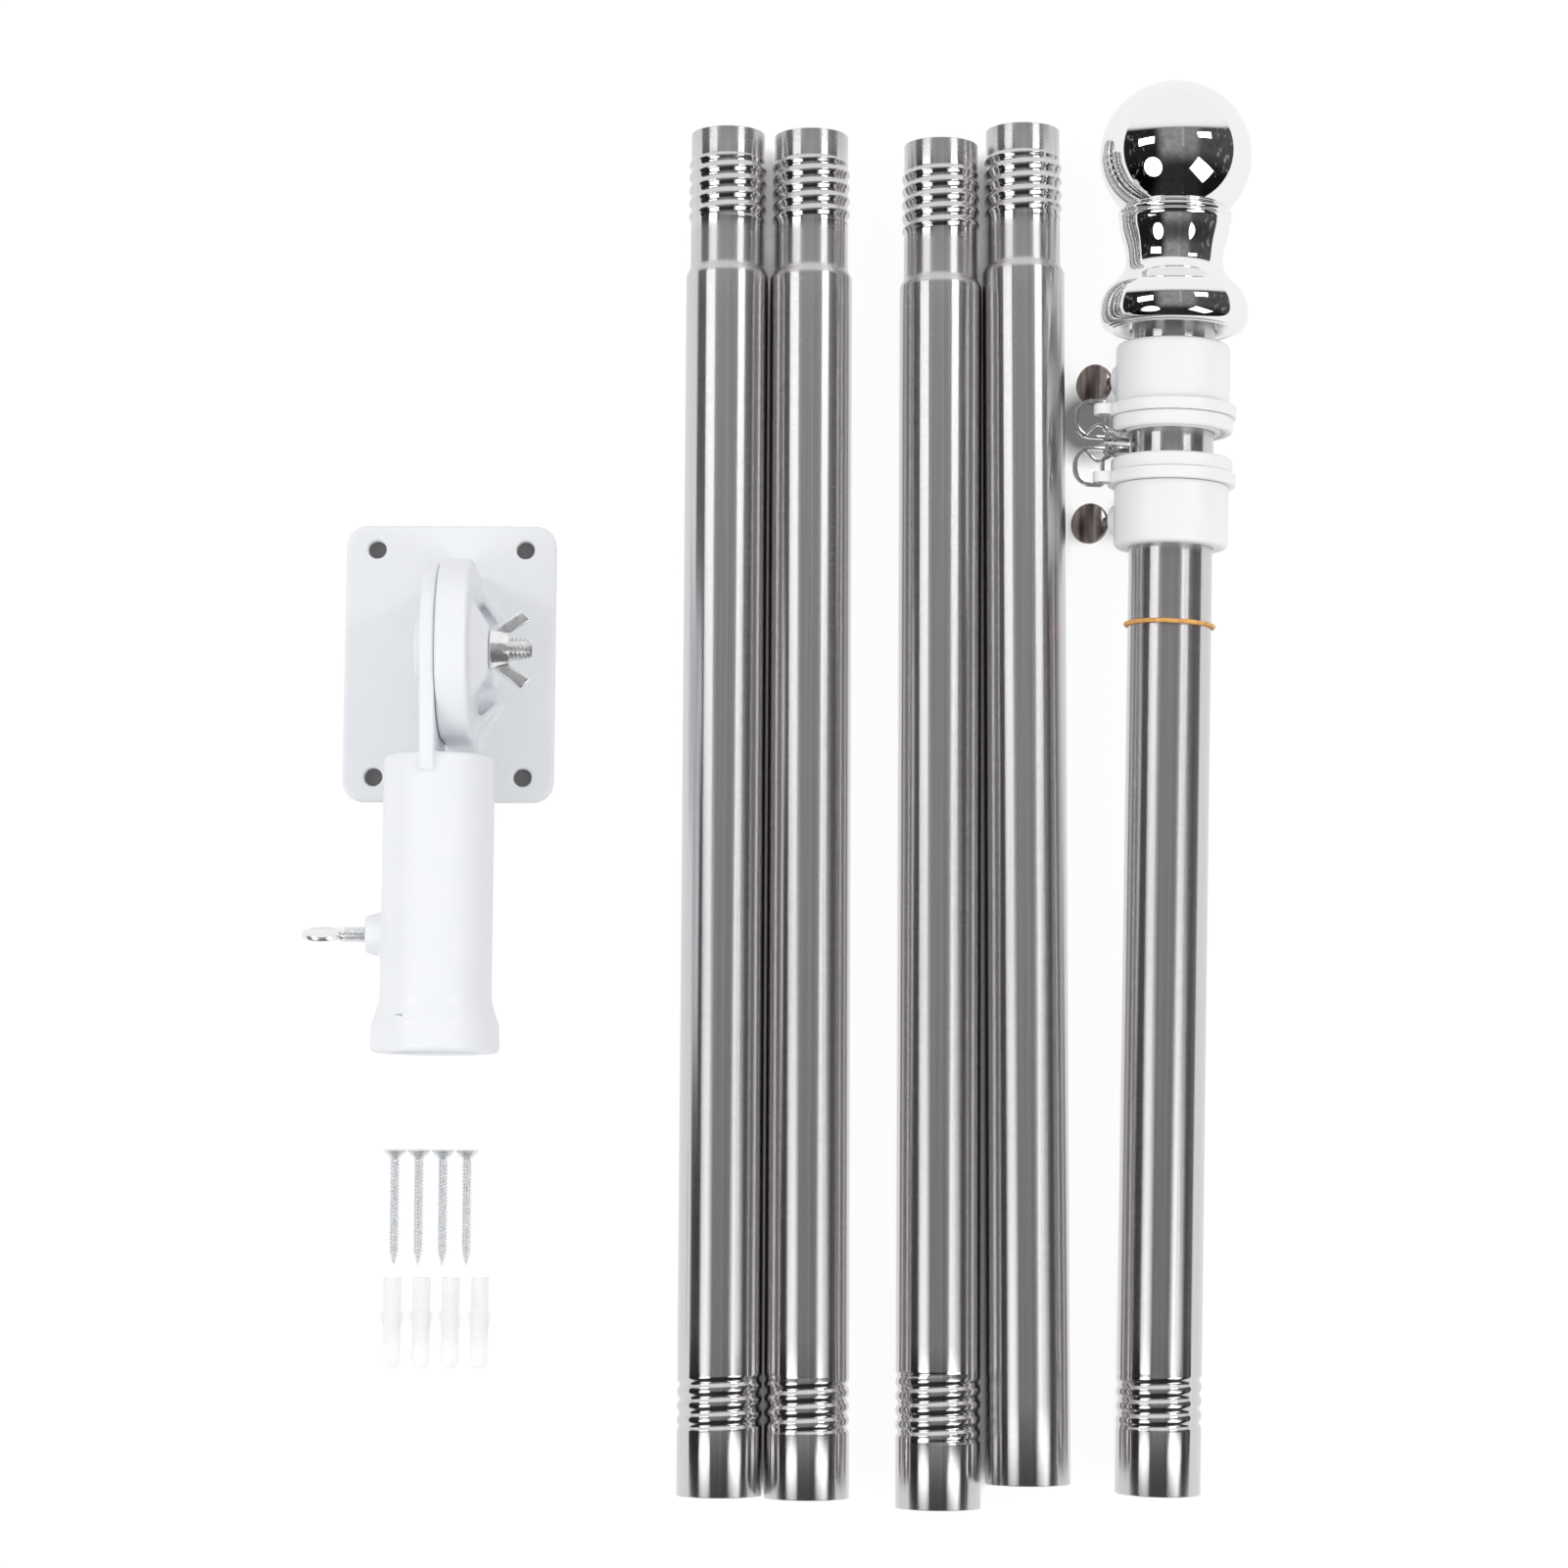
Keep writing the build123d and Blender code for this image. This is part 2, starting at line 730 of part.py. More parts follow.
# Four wall plugs, bored for the screw and split at the far end
plug_radius = plug_diameter / 2
for i in range(fixing_count):
    lay = lay_plane(plugs_first_x + i * plug_spacing, plug_y, plug_radius, 180)
    with BuildPart() as plug:
        with BuildSketch(lay):
            with BuildLine():
                Polyline(
                    (0, plug_bore / 2),
                    (0, plug_radius),
                    (plug_length - plug_radius, plug_radius),
                    (plug_length, plug_tip_diameter / 2),
                    (plug_length, 0),
                    (plug_bore_depth, 0),
                    (plug_bore_depth, plug_bore / 2),
                    close=True,
                )
            make_face()
        revolve(axis=long_axis(lay))
        with BuildSketch(lay):
            with Locations((plug_length / 2, 0)):
                Rectangle(plug_fin_length, plug_diameter + 2 * plug_fin)
                Rectangle(plug_fin_length, plug_diameter - plug_fin, mode=Mode.SUBTRACT)
        extrude(amount=plug_fin / 2, both=True)
        with BuildSketch(lay):
            with Locations((plug_length - plug_slot_length / 2, 0)):
                Rectangle(plug_slot_length, plug_slot)
        extrude(amount=plug_radius, both=True, mode=Mode.SUBTRACT)
    save(plug, f"wall_plug_{i + 1}")
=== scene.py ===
"""Looks of a sectional flagpole kit laid out flat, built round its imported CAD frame.

Metres. X runs to the right, Y away towards the sections' reduced ends, Z up from the floor.
The new pieces are dressed forms of the CAD nodes: turned tubes with rolled threads, a chromed finial,
moulded flag rings with stamped clips, a cast and powder-coated wall bracket, and its fixings.
"""

import json
import logging
import math
from dataclasses import dataclass
from enum import Enum
from typing import Callable

import bmesh
import bpy
from mathutils import Matrix, Vector, noise
from mathutils.geometry import interpolate_bezier

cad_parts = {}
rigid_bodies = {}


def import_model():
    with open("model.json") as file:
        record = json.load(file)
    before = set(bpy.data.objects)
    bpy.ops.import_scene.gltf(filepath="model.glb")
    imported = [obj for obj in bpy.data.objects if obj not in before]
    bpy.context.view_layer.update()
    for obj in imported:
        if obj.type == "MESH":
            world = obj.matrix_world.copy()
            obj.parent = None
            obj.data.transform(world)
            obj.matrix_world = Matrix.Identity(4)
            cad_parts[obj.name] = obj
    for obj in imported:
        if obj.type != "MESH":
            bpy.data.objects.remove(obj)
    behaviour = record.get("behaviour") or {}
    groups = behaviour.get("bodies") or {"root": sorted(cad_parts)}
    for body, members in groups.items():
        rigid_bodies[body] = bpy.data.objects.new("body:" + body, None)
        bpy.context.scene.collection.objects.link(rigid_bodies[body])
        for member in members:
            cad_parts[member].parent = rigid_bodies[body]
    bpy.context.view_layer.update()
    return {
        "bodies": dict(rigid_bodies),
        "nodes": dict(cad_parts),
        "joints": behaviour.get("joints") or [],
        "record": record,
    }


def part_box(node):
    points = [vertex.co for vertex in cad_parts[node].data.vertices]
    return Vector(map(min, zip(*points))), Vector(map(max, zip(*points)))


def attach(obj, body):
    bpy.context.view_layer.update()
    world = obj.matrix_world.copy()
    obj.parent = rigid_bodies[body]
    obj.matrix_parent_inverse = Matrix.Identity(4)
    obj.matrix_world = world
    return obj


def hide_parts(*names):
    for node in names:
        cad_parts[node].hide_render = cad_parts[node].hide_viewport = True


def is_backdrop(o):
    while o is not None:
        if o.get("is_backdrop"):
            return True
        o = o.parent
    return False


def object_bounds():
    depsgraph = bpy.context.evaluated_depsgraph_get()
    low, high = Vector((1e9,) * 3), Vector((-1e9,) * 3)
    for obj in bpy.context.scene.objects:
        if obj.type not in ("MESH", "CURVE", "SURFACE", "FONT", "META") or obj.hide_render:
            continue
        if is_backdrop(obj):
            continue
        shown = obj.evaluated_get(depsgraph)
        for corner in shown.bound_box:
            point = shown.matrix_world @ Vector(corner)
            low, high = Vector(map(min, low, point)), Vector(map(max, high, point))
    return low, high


MM = 0.001
TURNED_UV = "turned"
BURNISH = "burnish"
RIGHT = Vector((1, 0, 0))
UP = Vector((0, 0, 1))
EVEN = (1.0, 1.0, 1.0)
TUBE_RADIUS = 12.7 * MM
LOWER_RING_STATION = 304.35 * MM
# Middle of the painted shadow on the paper, measured from the clips' midpoint.
PAINTED_SHADOW_FROM_CLIPS = Vector((-3.5 * MM, 11.0 * MM, 0.0))

log = logging.getLogger("flagpole")

Profile = list[tuple[float, float]]
Shift = Callable[[float, float], float]
Shell = bmesh.types.BMesh
Socket = bpy.types.NodeSocket
Triple = tuple[float, float, float]
Spans = tuple[float, float, float, float]


class ThreadForm(Enum):
    """How a helix stands on a round piece."""

    RIDGE = 1
    GROOVE = -1


class OpenEnd(Enum):
    """What a tube's open end carries."""

    PLAIN = "plain"
    GROOVED = "grooved"


@dataclass(frozen=True)
class Lay:
    """A piece's own frame: local X along it, local Z out of it.

    Args:
        origin: Where the local origin lies in the row frame.
        along: Direction of local X.
        out: Direction of local Z, square to along.
    """

    origin: Vector
    along: Vector
    out: Vector

    def matrix(self) -> Matrix:
        """Matrix from the piece's own frame to the row frame."""
        side = self.out.cross(self.along)
        turned = Matrix((self.along, side, self.out)).transposed().to_4x4()
        return Matrix.Translation(self.origin) @ turned

    def rolled(self, angle: float) -> "Lay":
        """The same frame turned about its own X by an angle in degrees."""
        turn = Matrix.Rotation(math.radians(angle), 3, self.along)
        return Lay(self.origin, self.along, turn @ self.out)

    def moved(self, along: float = 0.0, out: float = 0.0) -> "Lay":
        """The same frame moved along its own X and Z."""
        return Lay(self.origin + self.along * along + self.out * out, self.along, self.out)


@dataclass(frozen=True)
class Helix:
    """A right-handed thread on a turned piece.

    Args:
        start: Station where it begins.
        end: Station where it ends.
        pitch: Travel of one turn.
        height: How far it stands out, or how deep it cuts.
        width: Share of the pitch that it takes.
        form: Ridge or groove.
        phase: Share of a turn that it starts at.
    """

    start: float
    end: float
    pitch: float
    height: float
    width: float
    form: ThreadForm
    phase: float = 0.0

    def shift(self, station: float, angle: float) -> float:
        """Radial move of a surface point.

        Args:
            station: Its place along the axis.
            angle: Its angle about the axis.

        Returns:
            The move outwards in metres.
        """
        turn = (station - self.start) / self.pitch - angle / math.tau + self.phase
        off = abs(turn - round(turn)) / self.width
        crest = 0.5 + 0.5 * math.cos(math.pi * min(off, 1.0))
        runout = min(station - self.start, self.end - station) / (0.45 * self.pitch)
        fade = min(max(runout, 0.0), 1.0)
        return self.form.value * self.height * crest * fade * fade * (3 - 2 * fade)

    def stations(self, rows: int) -> list[float]:
        """Stations of the rows of vertices that carry the helix, so many to a pitch."""
        count = math.ceil((self.end - self.start) / self.pitch * rows)
        return [self.start + (self.end - self.start) * i / count for i in range(count + 1)]


def arc(centre: tuple[float, float], radius: float, start: float, end: float, steps: int) -> Profile:
    """Points on an arc.

    Args:
        centre: Its centre in the profile's plane.
        radius: Its radius.
        start: First angle in degrees.
        end: Last angle in degrees.
        steps: How many spans.

    Returns:
        The points, both ends included.
    """
    points = []
    for i in range(steps + 1):
        angle = math.radians(start + (end - start) * i / steps)
        points.append((centre[0] + radius * math.cos(angle), centre[1] + radius * math.sin(angle)))
    return points


def curve(start: tuple, pull: tuple, push: tuple, end: tuple, steps: int) -> Profile:
    """Points on a Bezier span from start to end with two handles."""
    span = interpolate_bezier(*(Vector((p[0], p[1], 0.0)) for p in (start, pull, push, end)), steps + 1)
    return [(p.x, p.y) for p in span]


def turned(profile: Profile, steps: int, shift: Shift | None = None, closed: bool = True) -> Shell:
    """Spins a profile about local X.

    Args:
        profile: Points as (station, radius).
        steps: Divisions round the axis.
        shift: Radial move at (station, angle), as a thread makes.
        closed: Whether the profile is a ring; an open one starts and ends on the axis.

    Returns:
        The closed shell.
    """
    bm = bmesh.new()
    verts = [bm.verts.new((station, 0.0, radius)) for station, radius in profile]
    pairs = list(zip(verts, verts[1:]))
    if closed:
        pairs.append((verts[-1], verts[0]))
    edges = [bm.edges.new(pair) for pair in pairs]
    bmesh.ops.spin(
        bm, geom=verts + edges, cent=(0, 0, 0), axis=(1, 0, 0), dvec=(0, 0, 0),
        angle=math.tau, steps=steps, use_merge=True, use_duplicate=False,
    )
    bmesh.ops.remove_doubles(bm, verts=bm.verts, dist=1e-7)
    bmesh.ops.recalc_face_normals(bm, faces=bm.faces)
    if shift is not None:
        for vert in bm.verts:
            radius = math.hypot(vert.co.y, vert.co.z)
            if radius > 1e-9:
                angle = math.atan2(-vert.co.y, vert.co.z)
                scale = 1 + shift(vert.co.x, angle) / radius
                vert.co.y *= scale
                vert.co.z *= scale
    return bm


def soften(bm: Shell, width: float, angle: float = 35.0, segments: int = 3) -> None:
    """Rounds the sharp edges of a mesh.

    Args:
        bm: The mesh.
        width: Bevel width in metres.
        angle: Least angle between faces, in degrees, that counts as sharp.
        segments: Bevel segments.
    """
    sharp = [e for e in bm.edges if e.is_manifold and e.calc_face_angle(0.0) > math.radians(angle)]
    bmesh.ops.bevel(
        bm, geom=sharp, offset=width, offset_type="OFFSET", segments=segments, profile=0.5,
        affect="EDGES", clamp_overlap=True, material=-1,
    )


def slab(outline: Profile, thickness: float) -> Shell:
    """A plate in local XY, centred on its thickness in local Z.

    Args:
        outline: Its corners in order.
        thickness: Its thickness.

    Returns:
        The closed plate.
    """
    bm = bmesh.new()
    face = bm.faces.new([bm.verts.new((x, y, -thickness / 2)) for x, y in outline])
    extruded = bmesh.ops.extrude_face_region(bm, geom=[face])
    risen = [g for g in extruded["geom"] if isinstance(g, bmesh.types.BMVert)]
    bmesh.ops.translate(bm, verts=risen, vec=(0, 0, thickness))
    bmesh.ops.recalc_face_normals(bm, faces=bm.faces)
    return bm


def ribbon(route: Profile, width: float, thickness: float) -> Shell:
    """A bent strip whose centre line lies in local XZ and whose width runs along local Y.

    Args:
        route: Centre line as (x, z) points.
        width: Width of the strip.
        thickness: Thickness of the strip.

    Returns:
        The closed strip.
    """
    bm = bmesh.new()
    verts = [bm.verts.new((x, -width / 2, z)) for x, z in route]
    edges = [bm.edges.new(pair) for pair in zip(verts, verts[1:])]
    extruded = bmesh.ops.extrude_edge_only(bm, edges=edges)
    risen = [g for g in extruded["geom"] if isinstance(g, bmesh.types.BMVert)]
    bmesh.ops.translate(bm, verts=risen, vec=(0, width, 0))
    bmesh.ops.recalc_face_normals(bm, faces=bm.faces)
    bmesh.ops.solidify(bm, geom=bm.faces[:], thickness=thickness)
    bmesh.ops.recalc_face_normals(bm, faces=bm.faces)
    return bm


def rounded_route(corners: list[Triple], steps: int = 7) -> Profile:
    """A route with an arc at each corner.

    Args:
        corners: (x, z, radius) of each corner; the two ends have radius 0.
        steps: Spans of each arc.

    Returns:
        Points along the route.
    """
    points = [Vector(c[:2]) for c in corners]
    route = [tuple(points[0])]
    for before, here, after, corner in zip(points, points[1:], points[2:], corners[1:-1]):
        back, on = (before - here).normalized(), (after - here).normalized()
        half = back.angle(on) / 2
        reach = corner[2] / math.tan(half)
        first, last = here + back * reach, here + on * reach
        centre = here + (back + on).normalized() * (corner[2] / math.sin(half))
        for i in range(steps + 1):
            swing = (first - centre).lerp(last - centre, i / steps)
            route.append(tuple(centre + swing.normalized() * corner[2]))
    route.append(tuple(points[-1]))
    return route


def joined(parts: list[Shell]) -> Shell:
    """Puts several shells into one mesh and frees them.

    Args:
        parts: The shells.

    Returns:
        The one mesh.
    """
    whole = bmesh.new()
    for part in parts:
        scratch = bpy.data.meshes.new("scratch")
        part.to_mesh(scratch)
        whole.from_mesh(scratch)
        bpy.data.meshes.remove(scratch)
        part.free()
    return whole


def placed(bm: Shell, matrix: Matrix) -> Shell:
    """Moves a shell by a matrix and returns it."""
    bmesh.ops.transform(bm, matrix=matrix, verts=bm.verts)
    return bm


def wrap_turned_uv(bm: Shell) -> None:
    """Gives a turned piece a UV map in metres: U along its axis, V round it."""
    layer = bm.loops.layers.uv.new(TURNED_UV)
    for face in bm.faces:
        angles = [math.atan2(loop.vert.co.y, loop.vert.co.z) for loop in face.loops]
        radius = max(math.hypot(v.co.y, v.co.z) for v in face.verts)
        for loop, angle in zip(face.loops, angles):
            if angle - angles[0] > math.pi:
                angle -= math.tau
            elif angle - angles[0] < -math.pi:
                angle += math.tau
            loop[layer].uv = (loop.vert.co.x, angle * radius)


def paint_burnish(bm: Shell, zones: list[tuple[float, float]], dull_from: float) -> None:
    """Marks what rolling has burnished (1) and what it left duller (-1), for the steel's roughness.

    Args:
        bm: The tube in its own frame.
        zones: First and last station of each burnished stretch.
        dull_from: Station past which it is duller.
    """
    layer = bm.verts.layers.float.new(BURNISH)
    edge = 2.0 * MM
    for vert in bm.verts:
        inside = [min(vert.co.x - low, high - vert.co.x) / edge for low, high in zones]
        dull = min(max((vert.co.x - dull_from) / edge, 0.0), 1.0)
        vert[layer] = min(max([-dull] + inside), 1.0)


def mesh_from(bm: Shell, name: str) -> bpy.types.Mesh:
    """Turns a shell into a mesh and frees it.

    Args:
        bm: The shell.
        name: The mesh's name.

    Returns:
        The mesh.
    """
    mesh = bpy.data.meshes.new(name)
    bm.to_mesh(mesh)
    bm.free()
    return mesh


def shown(name: str, data: bpy.types.ID) -> bpy.types.Object:
    """Makes an object of the scene from its data.

    Args:
        name: The object's name.
        data: Its mesh, lamp or camera.

    Returns:
        The object.
    """
    made = bpy.data.objects.new(name, data)
    bpy.context.scene.collection.objects.link(made)
    return made


@dataclass
class Piece:
    """Where a finished mesh goes.

    Args:
        name: The piece's name.
        body: The CAD body that it rides on.
        nodes: The CAD nodes that it stands for.
        slot: The record's material slot; not used.
        material: Its finish.
    """

    name: str
    body: str
    nodes: tuple[str, ...]
    slot: str
    material: bpy.types.Material

    @classmethod
    def of(cls, node: str, body: str, slot: str, material: bpy.types.Material) -> "Piece":
        """The dressed piece that stands for one CAD node.

        Args:
            node: The CAD node.
            body: The CAD body that it rides on.
            slot: The record's material slot.
            material: Its finish.

        Returns:
            The piece.
        """
        return cls(f"dressed_{node}", body, (node,), slot, material)

    def publish(self, bm: Shell, sharp: float = 40.0) -> None:
        """Makes the object from a shell in the row frame, which is freed."""
        self.dress(mesh_from(bm, self.name), sharp)

    def dress(self, mesh: bpy.types.Mesh, sharp: float) -> None:
        """Puts a mesh in an object, with its finish, body and nodes.

        Args:
            mesh: The mesh in the row frame.
            sharp: Angle in degrees past which an edge stays sharp.
        """
        mesh.shade_smooth()
        mesh.set_sharp_from_angle(angle=math.radians(sharp))
        mesh.materials.clear()
        mesh.materials.append(self.material)
        piece = shown(self.name, mesh)
        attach(piece, self.body)
        if self.nodes:
            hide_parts(*self.nodes)
        log.info("%s: %d faces, on %s", self.name, len(mesh.polygons), self.body)


class Graph:
    """A node tree, built link by link.

    Args:
        tree: The tree that takes the nodes.
    """

    def __init__(self, tree: bpy.types.NodeTree) -> None:
        """Keeps the tree."""
        self.tree = tree

    def feed(self, target: Socket, value: Socket | float | tuple) -> None:
        """Links a socket to a source, or sets its value."""
        if isinstance(value, Socket):
            self.tree.links.new(value, target)
        else:
            target.default_value = value

    def node(self, kind: str, inputs: dict[str, object] | None = None, **settings: object) -> bpy.types.Node:
        """Adds a node.

        Args:
            kind: Its type.
            inputs: What feeds its sockets, by name.
            settings: Its properties.

        Returns:
            The node.
        """
        added = self.tree.nodes.new(kind)
        for key, value in settings.items():
            setattr(added, key, value)
        for key, value in (inputs or {}).items():
            self.feed(added.inputs[key], value)
        return added

    def mapped(self, source: Socket, scale: Triple) -> Socket:
        """Coordinates times a scale on each axis."""
        return self.node("ShaderNodeMapping", {"Vector": source, "Scale": scale}).outputs["Vector"]

    def noise(self, vector: Socket, scale: float, detail: float = 2.0) -> Socket:
        """Noise of a scale and detail on a vector."""
        inputs = {"Vector": vector, "Scale": scale, "Detail": detail}
        return self.node("ShaderNodeTexNoise", inputs).outputs["Fac"]

    def span(self, value: Socket, *ends: float, form: str = "LINEAR") -> Socket:
        """Maps a value from one span to another, clamped.

        Args:
            value: The value.
            ends: Low and high end of its span, then of the span that it goes to.
            form: Interpolation between them.

        Returns:
            The mapped value.
        """
        inputs = dict(zip(("From Min", "From Max", "To Min", "To Max"), ends), Value=value)
        return self.node("ShaderNodeMapRange", inputs, interpolation_type=form).outputs["Result"]

    def maths(self, operation: str, first: Socket, *others: Socket | float) -> Socket:
        """Joins values by a maths operation, one after the other.

        Args:
            operation: The operation.
            first: The first value.
            others: The values that join it.

        Returns:
            The outcome.
        """
        for other in others:
            step = self.node("ShaderNodeMath", operation=operation)
            self.feed(step.inputs[0], first)
            self.feed(step.inputs[1], other)
            first = step.outputs["Value"]
        return first

    def distance(self, vector: Socket, place: Triple) -> Socket:
        """How far a vector is from a fixed place.

        Args:
            vector: The vector.
            place: The fixed place.

        Returns:
            The distance.
        """
        away = self.node("ShaderNodeVectorMath", operation="DISTANCE")
        self.feed(away.inputs[0], vector)
        self.feed(away.inputs[1], place)
        return away.outputs["Value"]


class Sheet(Graph):
    """A material with one Principled shader.

    Args:
        name: The material's name.
        sockets: The shader's own values; underscores stand for spaces.
    """

    def __init__(self, name: str, **sockets: float | tuple) -> None:
        """Makes the material and sets its shader."""
        self.material = bpy.data.materials.new(name)
        self.material.use_nodes = True
        super().__init__(self.material.node_tree)
        self.shader = self.tree.nodes["Principled BSDF"]
        for key, value in sockets.items():
            self.wire(key.replace("_", " "), value)

    def wire(self, socket: str, value: Socket | float | tuple) -> None:
        """Feeds one of the shader's sockets."""
        self.feed(self.shader.inputs[socket], value)

    def place(self, scale: Triple = EVEN) -> Socket:
        """Object coordinates, in repeats to the metre."""
        return self.mapped(self.node("ShaderNodeTexCoord").outputs["Object"], scale)

    def unrolled(self, along: float, around: float) -> Socket:
        """The turned UV map, in repeats to the metre along and round the piece."""
        uv = self.node("ShaderNodeUVMap", uv_map=TURNED_UV).outputs["UV"]
        return self.mapped(uv, (along, around, 1.0))

    def cells(self, vector: Socket, scale: float) -> Socket:
        """Distance to the nearest point of a scatter, for specks."""
        inputs = {"Vector": vector, "Scale": scale}
        return self.node("ShaderNodeTexVoronoi", inputs, feature="F1").outputs["Distance"]

    def blend(self, factor: Socket, low: Triple | Socket, high: Triple) -> Socket:
        """A colour between two tones by a factor.

        Args:
            factor: 0 for the first tone, 1 for the second.
            low: The first tone, or what feeds it.
            high: The second tone.

        Returns:
            The colour.
        """
        first = low if isinstance(low, Socket) else (*low, 1.0)
        inputs = {"Factor": factor, "A": first, "B": (*high, 1.0)}
        return self.node("ShaderNodeMix", inputs, data_type="RGBA").outputs["Result"]

    def tint(self, factor: Socket, low: Triple | Socket, high: Triple) -> None:
        """Runs the base colour from one tone to another by a factor."""
        self.wire("Base Color", self.blend(factor, low, high))

    def bump(self, height: Socket, distance: float, strength: float = 1.0) -> None:
        """Adds relief; a second call adds to the first.

        Args:
            height: The relief's height.
            distance: Its depth in metres.
            strength: Its strength.
        """
        inputs = {"Height": height, "Distance": distance, "Strength": strength}
        relief = self.node("ShaderNodeBump", inputs)
        worn = self.shader.inputs["Normal"]
        if worn.is_linked:
            self.feed(relief.inputs["Normal"], worn.links[0].from_socket)
        self.feed(worn, relief.outputs["Normal"])


def dimmed(colour: Triple, share: float) -> Triple:
    """A colour times a share."""
    return tuple(c * share for c in colour)


@dataclass(frozen=True)
class BrushedSteel:
    """Stainless tube, brushed round its length, burnished where threads are rolled."""

    dark: Triple = (0.63, 0.613, 0.625)
    light: Triple = (0.69, 0.672, 0.685)
    roughness: float = 0.25
    burnished: float = 0.14
    dull: float = 0.31
    anisotropy: float = 1.0
    brush_swing: float = 0.018
    drawn_swing: float = 0.008
    brush_depth: float = 9.0e-7
    pit_depth: float = 3.0e-5

    def pits(self, sheet: Sheet) -> Socket:
        """Rare small pits, 1 where they are.

        Args:
            sheet: The steel's material.

        Returns:
            The factor.
        """
        specks = sheet.span(sheet.cells(sheet.unrolled(420.0, 420.0), 1.0), 0.05, 0.09, 1.0, 0.0)
        rare = sheet.span(sheet.noise(sheet.unrolled(260.0, 260.0), 1.0, 1.0), 0.64, 0.67, 0.0, 1.0)
        return sheet.maths("MULTIPLY", specks, rare)

    def material(self) -> bpy.types.Material:
        """Builds the finish."""
        sheet = Sheet("brushed stainless steel", Metallic=1.0, Anisotropic=self.anisotropy)
        tangent = sheet.node("ShaderNodeTangent", direction_type="UV_MAP", uv_map=TURNED_UV)
        sheet.wire("Tangent", tangent.outputs["Tangent"])
        brush = sheet.noise(sheet.unrolled(3600.0, 60.0), 1.0, 4.0)
        drawn = sheet.noise(sheet.unrolled(9.0, 1400.0), 1.0)
        sheet.tint(sheet.span(drawn, 0.3, 0.7, 0.0, 1.0), self.dark, self.light)
        rolled = sheet.node("ShaderNodeAttribute", attribute_name=BURNISH).outputs["Fac"]
        raw = sheet.span(rolled, 0.0, 1.0, 1.0, 0.1)
        brushed = sheet.span(brush, 0.3, 0.7, -self.brush_swing, self.brush_swing)
        rough = sheet.maths(
            "ADD",
            sheet.span(rolled, 0.0, 1.0, self.roughness, self.burnished),
            sheet.span(rolled, -1.0, 0.0, self.dull - self.roughness, 0.0),
            sheet.maths("MULTIPLY", raw, brushed),
            sheet.span(drawn, 0.35, 0.65, -self.drawn_swing, self.drawn_swing),
        )
        sheet.wire("Roughness", rough)
        sheet.bump(sheet.maths("MULTIPLY", brush, raw), self.brush_depth)
        sheet.bump(sheet.maths("MULTIPLY", self.pits(sheet), raw), self.pit_depth)
        return sheet.material


@dataclass(frozen=True)
class ChromePlating:
    """Bright plating over a spun finial."""

    colour: Triple = (0.91, 0.91, 0.912)
    roughness: float = 0.03
    haze_gain: float = 1.6
    dust_roughness: float = 0.3
    wave_depth: float = 1.5e-5

    def material(self) -> bpy.types.Material:
        """Builds the finish."""
        sheet = Sheet("chrome plating", Metallic=1.0)
        place = sheet.place()
        haze = sheet.noise(place, 70.0, 3.0)
        dust = sheet.span(sheet.cells(place, 330.0), 0.06, 0.1, 1.0, 0.0)
        rare = sheet.span(sheet.noise(place, 160.0, 1.0), 0.6, 0.66, 0.0, 1.0)
        hazy = sheet.span(haze, 0.4, 0.7, self.roughness, self.roughness * self.haze_gain)
        dusty = sheet.maths("MULTIPLY", dust, rare, self.dust_roughness)
        sheet.tint(haze, dimmed(self.colour, 0.97), self.colour)
        sheet.wire("Roughness", sheet.maths("ADD", hazy, dusty))
        sheet.bump(sheet.noise(place, 38.0, 1.0), self.wave_depth)
        return sheet.material


@dataclass(frozen=True)
class PowderCoat:
    """White powder coat on castings, with one small chip near the socket's mouth."""

    pale: Triple = (0.82, 0.834, 0.864)
    shade: Triple = (0.806, 0.822, 0.854)
    bared: Triple = (0.42, 0.43, 0.45)
    chip_place: Triple = (-0.0092, -0.1105, 0.0)
    chip_squeeze: Triple = (1.0, 2.2, 0.0)
    chip_ragged: float = 0.7 * MM
    roughness: float = 0.4

    def material(self) -> bpy.types.Material:
        """Builds the finish."""
        sheet = Sheet("white powder coat", Coat_Weight=0.16, Coat_Roughness=0.14)
        place = sheet.place()
        peel = sheet.noise(place, 620.0)
        cast = sheet.noise(place, 85.0, 3.0)
        coat = sheet.blend(sheet.span(cast, 0.35, 0.65, 0.0, 1.0), self.shade, self.pale)
        sheet.tint(self.chip(sheet), coat, self.bared)
        sheet.wire("Roughness", sheet.span(peel, 0.3, 0.7, self.roughness - 0.06, self.roughness + 0.08))
        sheet.bump(peel, 4.0e-5, 0.6)
        sheet.bump(cast, 4.0e-4, 0.35)
        return sheet.material

    def chip(self, sheet: Sheet) -> Socket:
        """Where the coat has chipped: 1 inside the chip, 0 outside.

        Args:
            sheet: The coat's material.

        Returns:
            The factor.
        """
        squeezed = tuple(p * s for p, s in zip(self.chip_place, self.chip_squeeze))
        away = sheet.distance(sheet.place(self.chip_squeeze), squeezed)
        ragged = sheet.noise(sheet.place(), 1600.0, 1.0)
        edge = sheet.span(ragged, 0.3, 0.7, -self.chip_ragged, self.chip_ragged)
        return sheet.span(sheet.maths("ADD", away, edge), 0.0006, 0.0009, 1.0, 0.0)


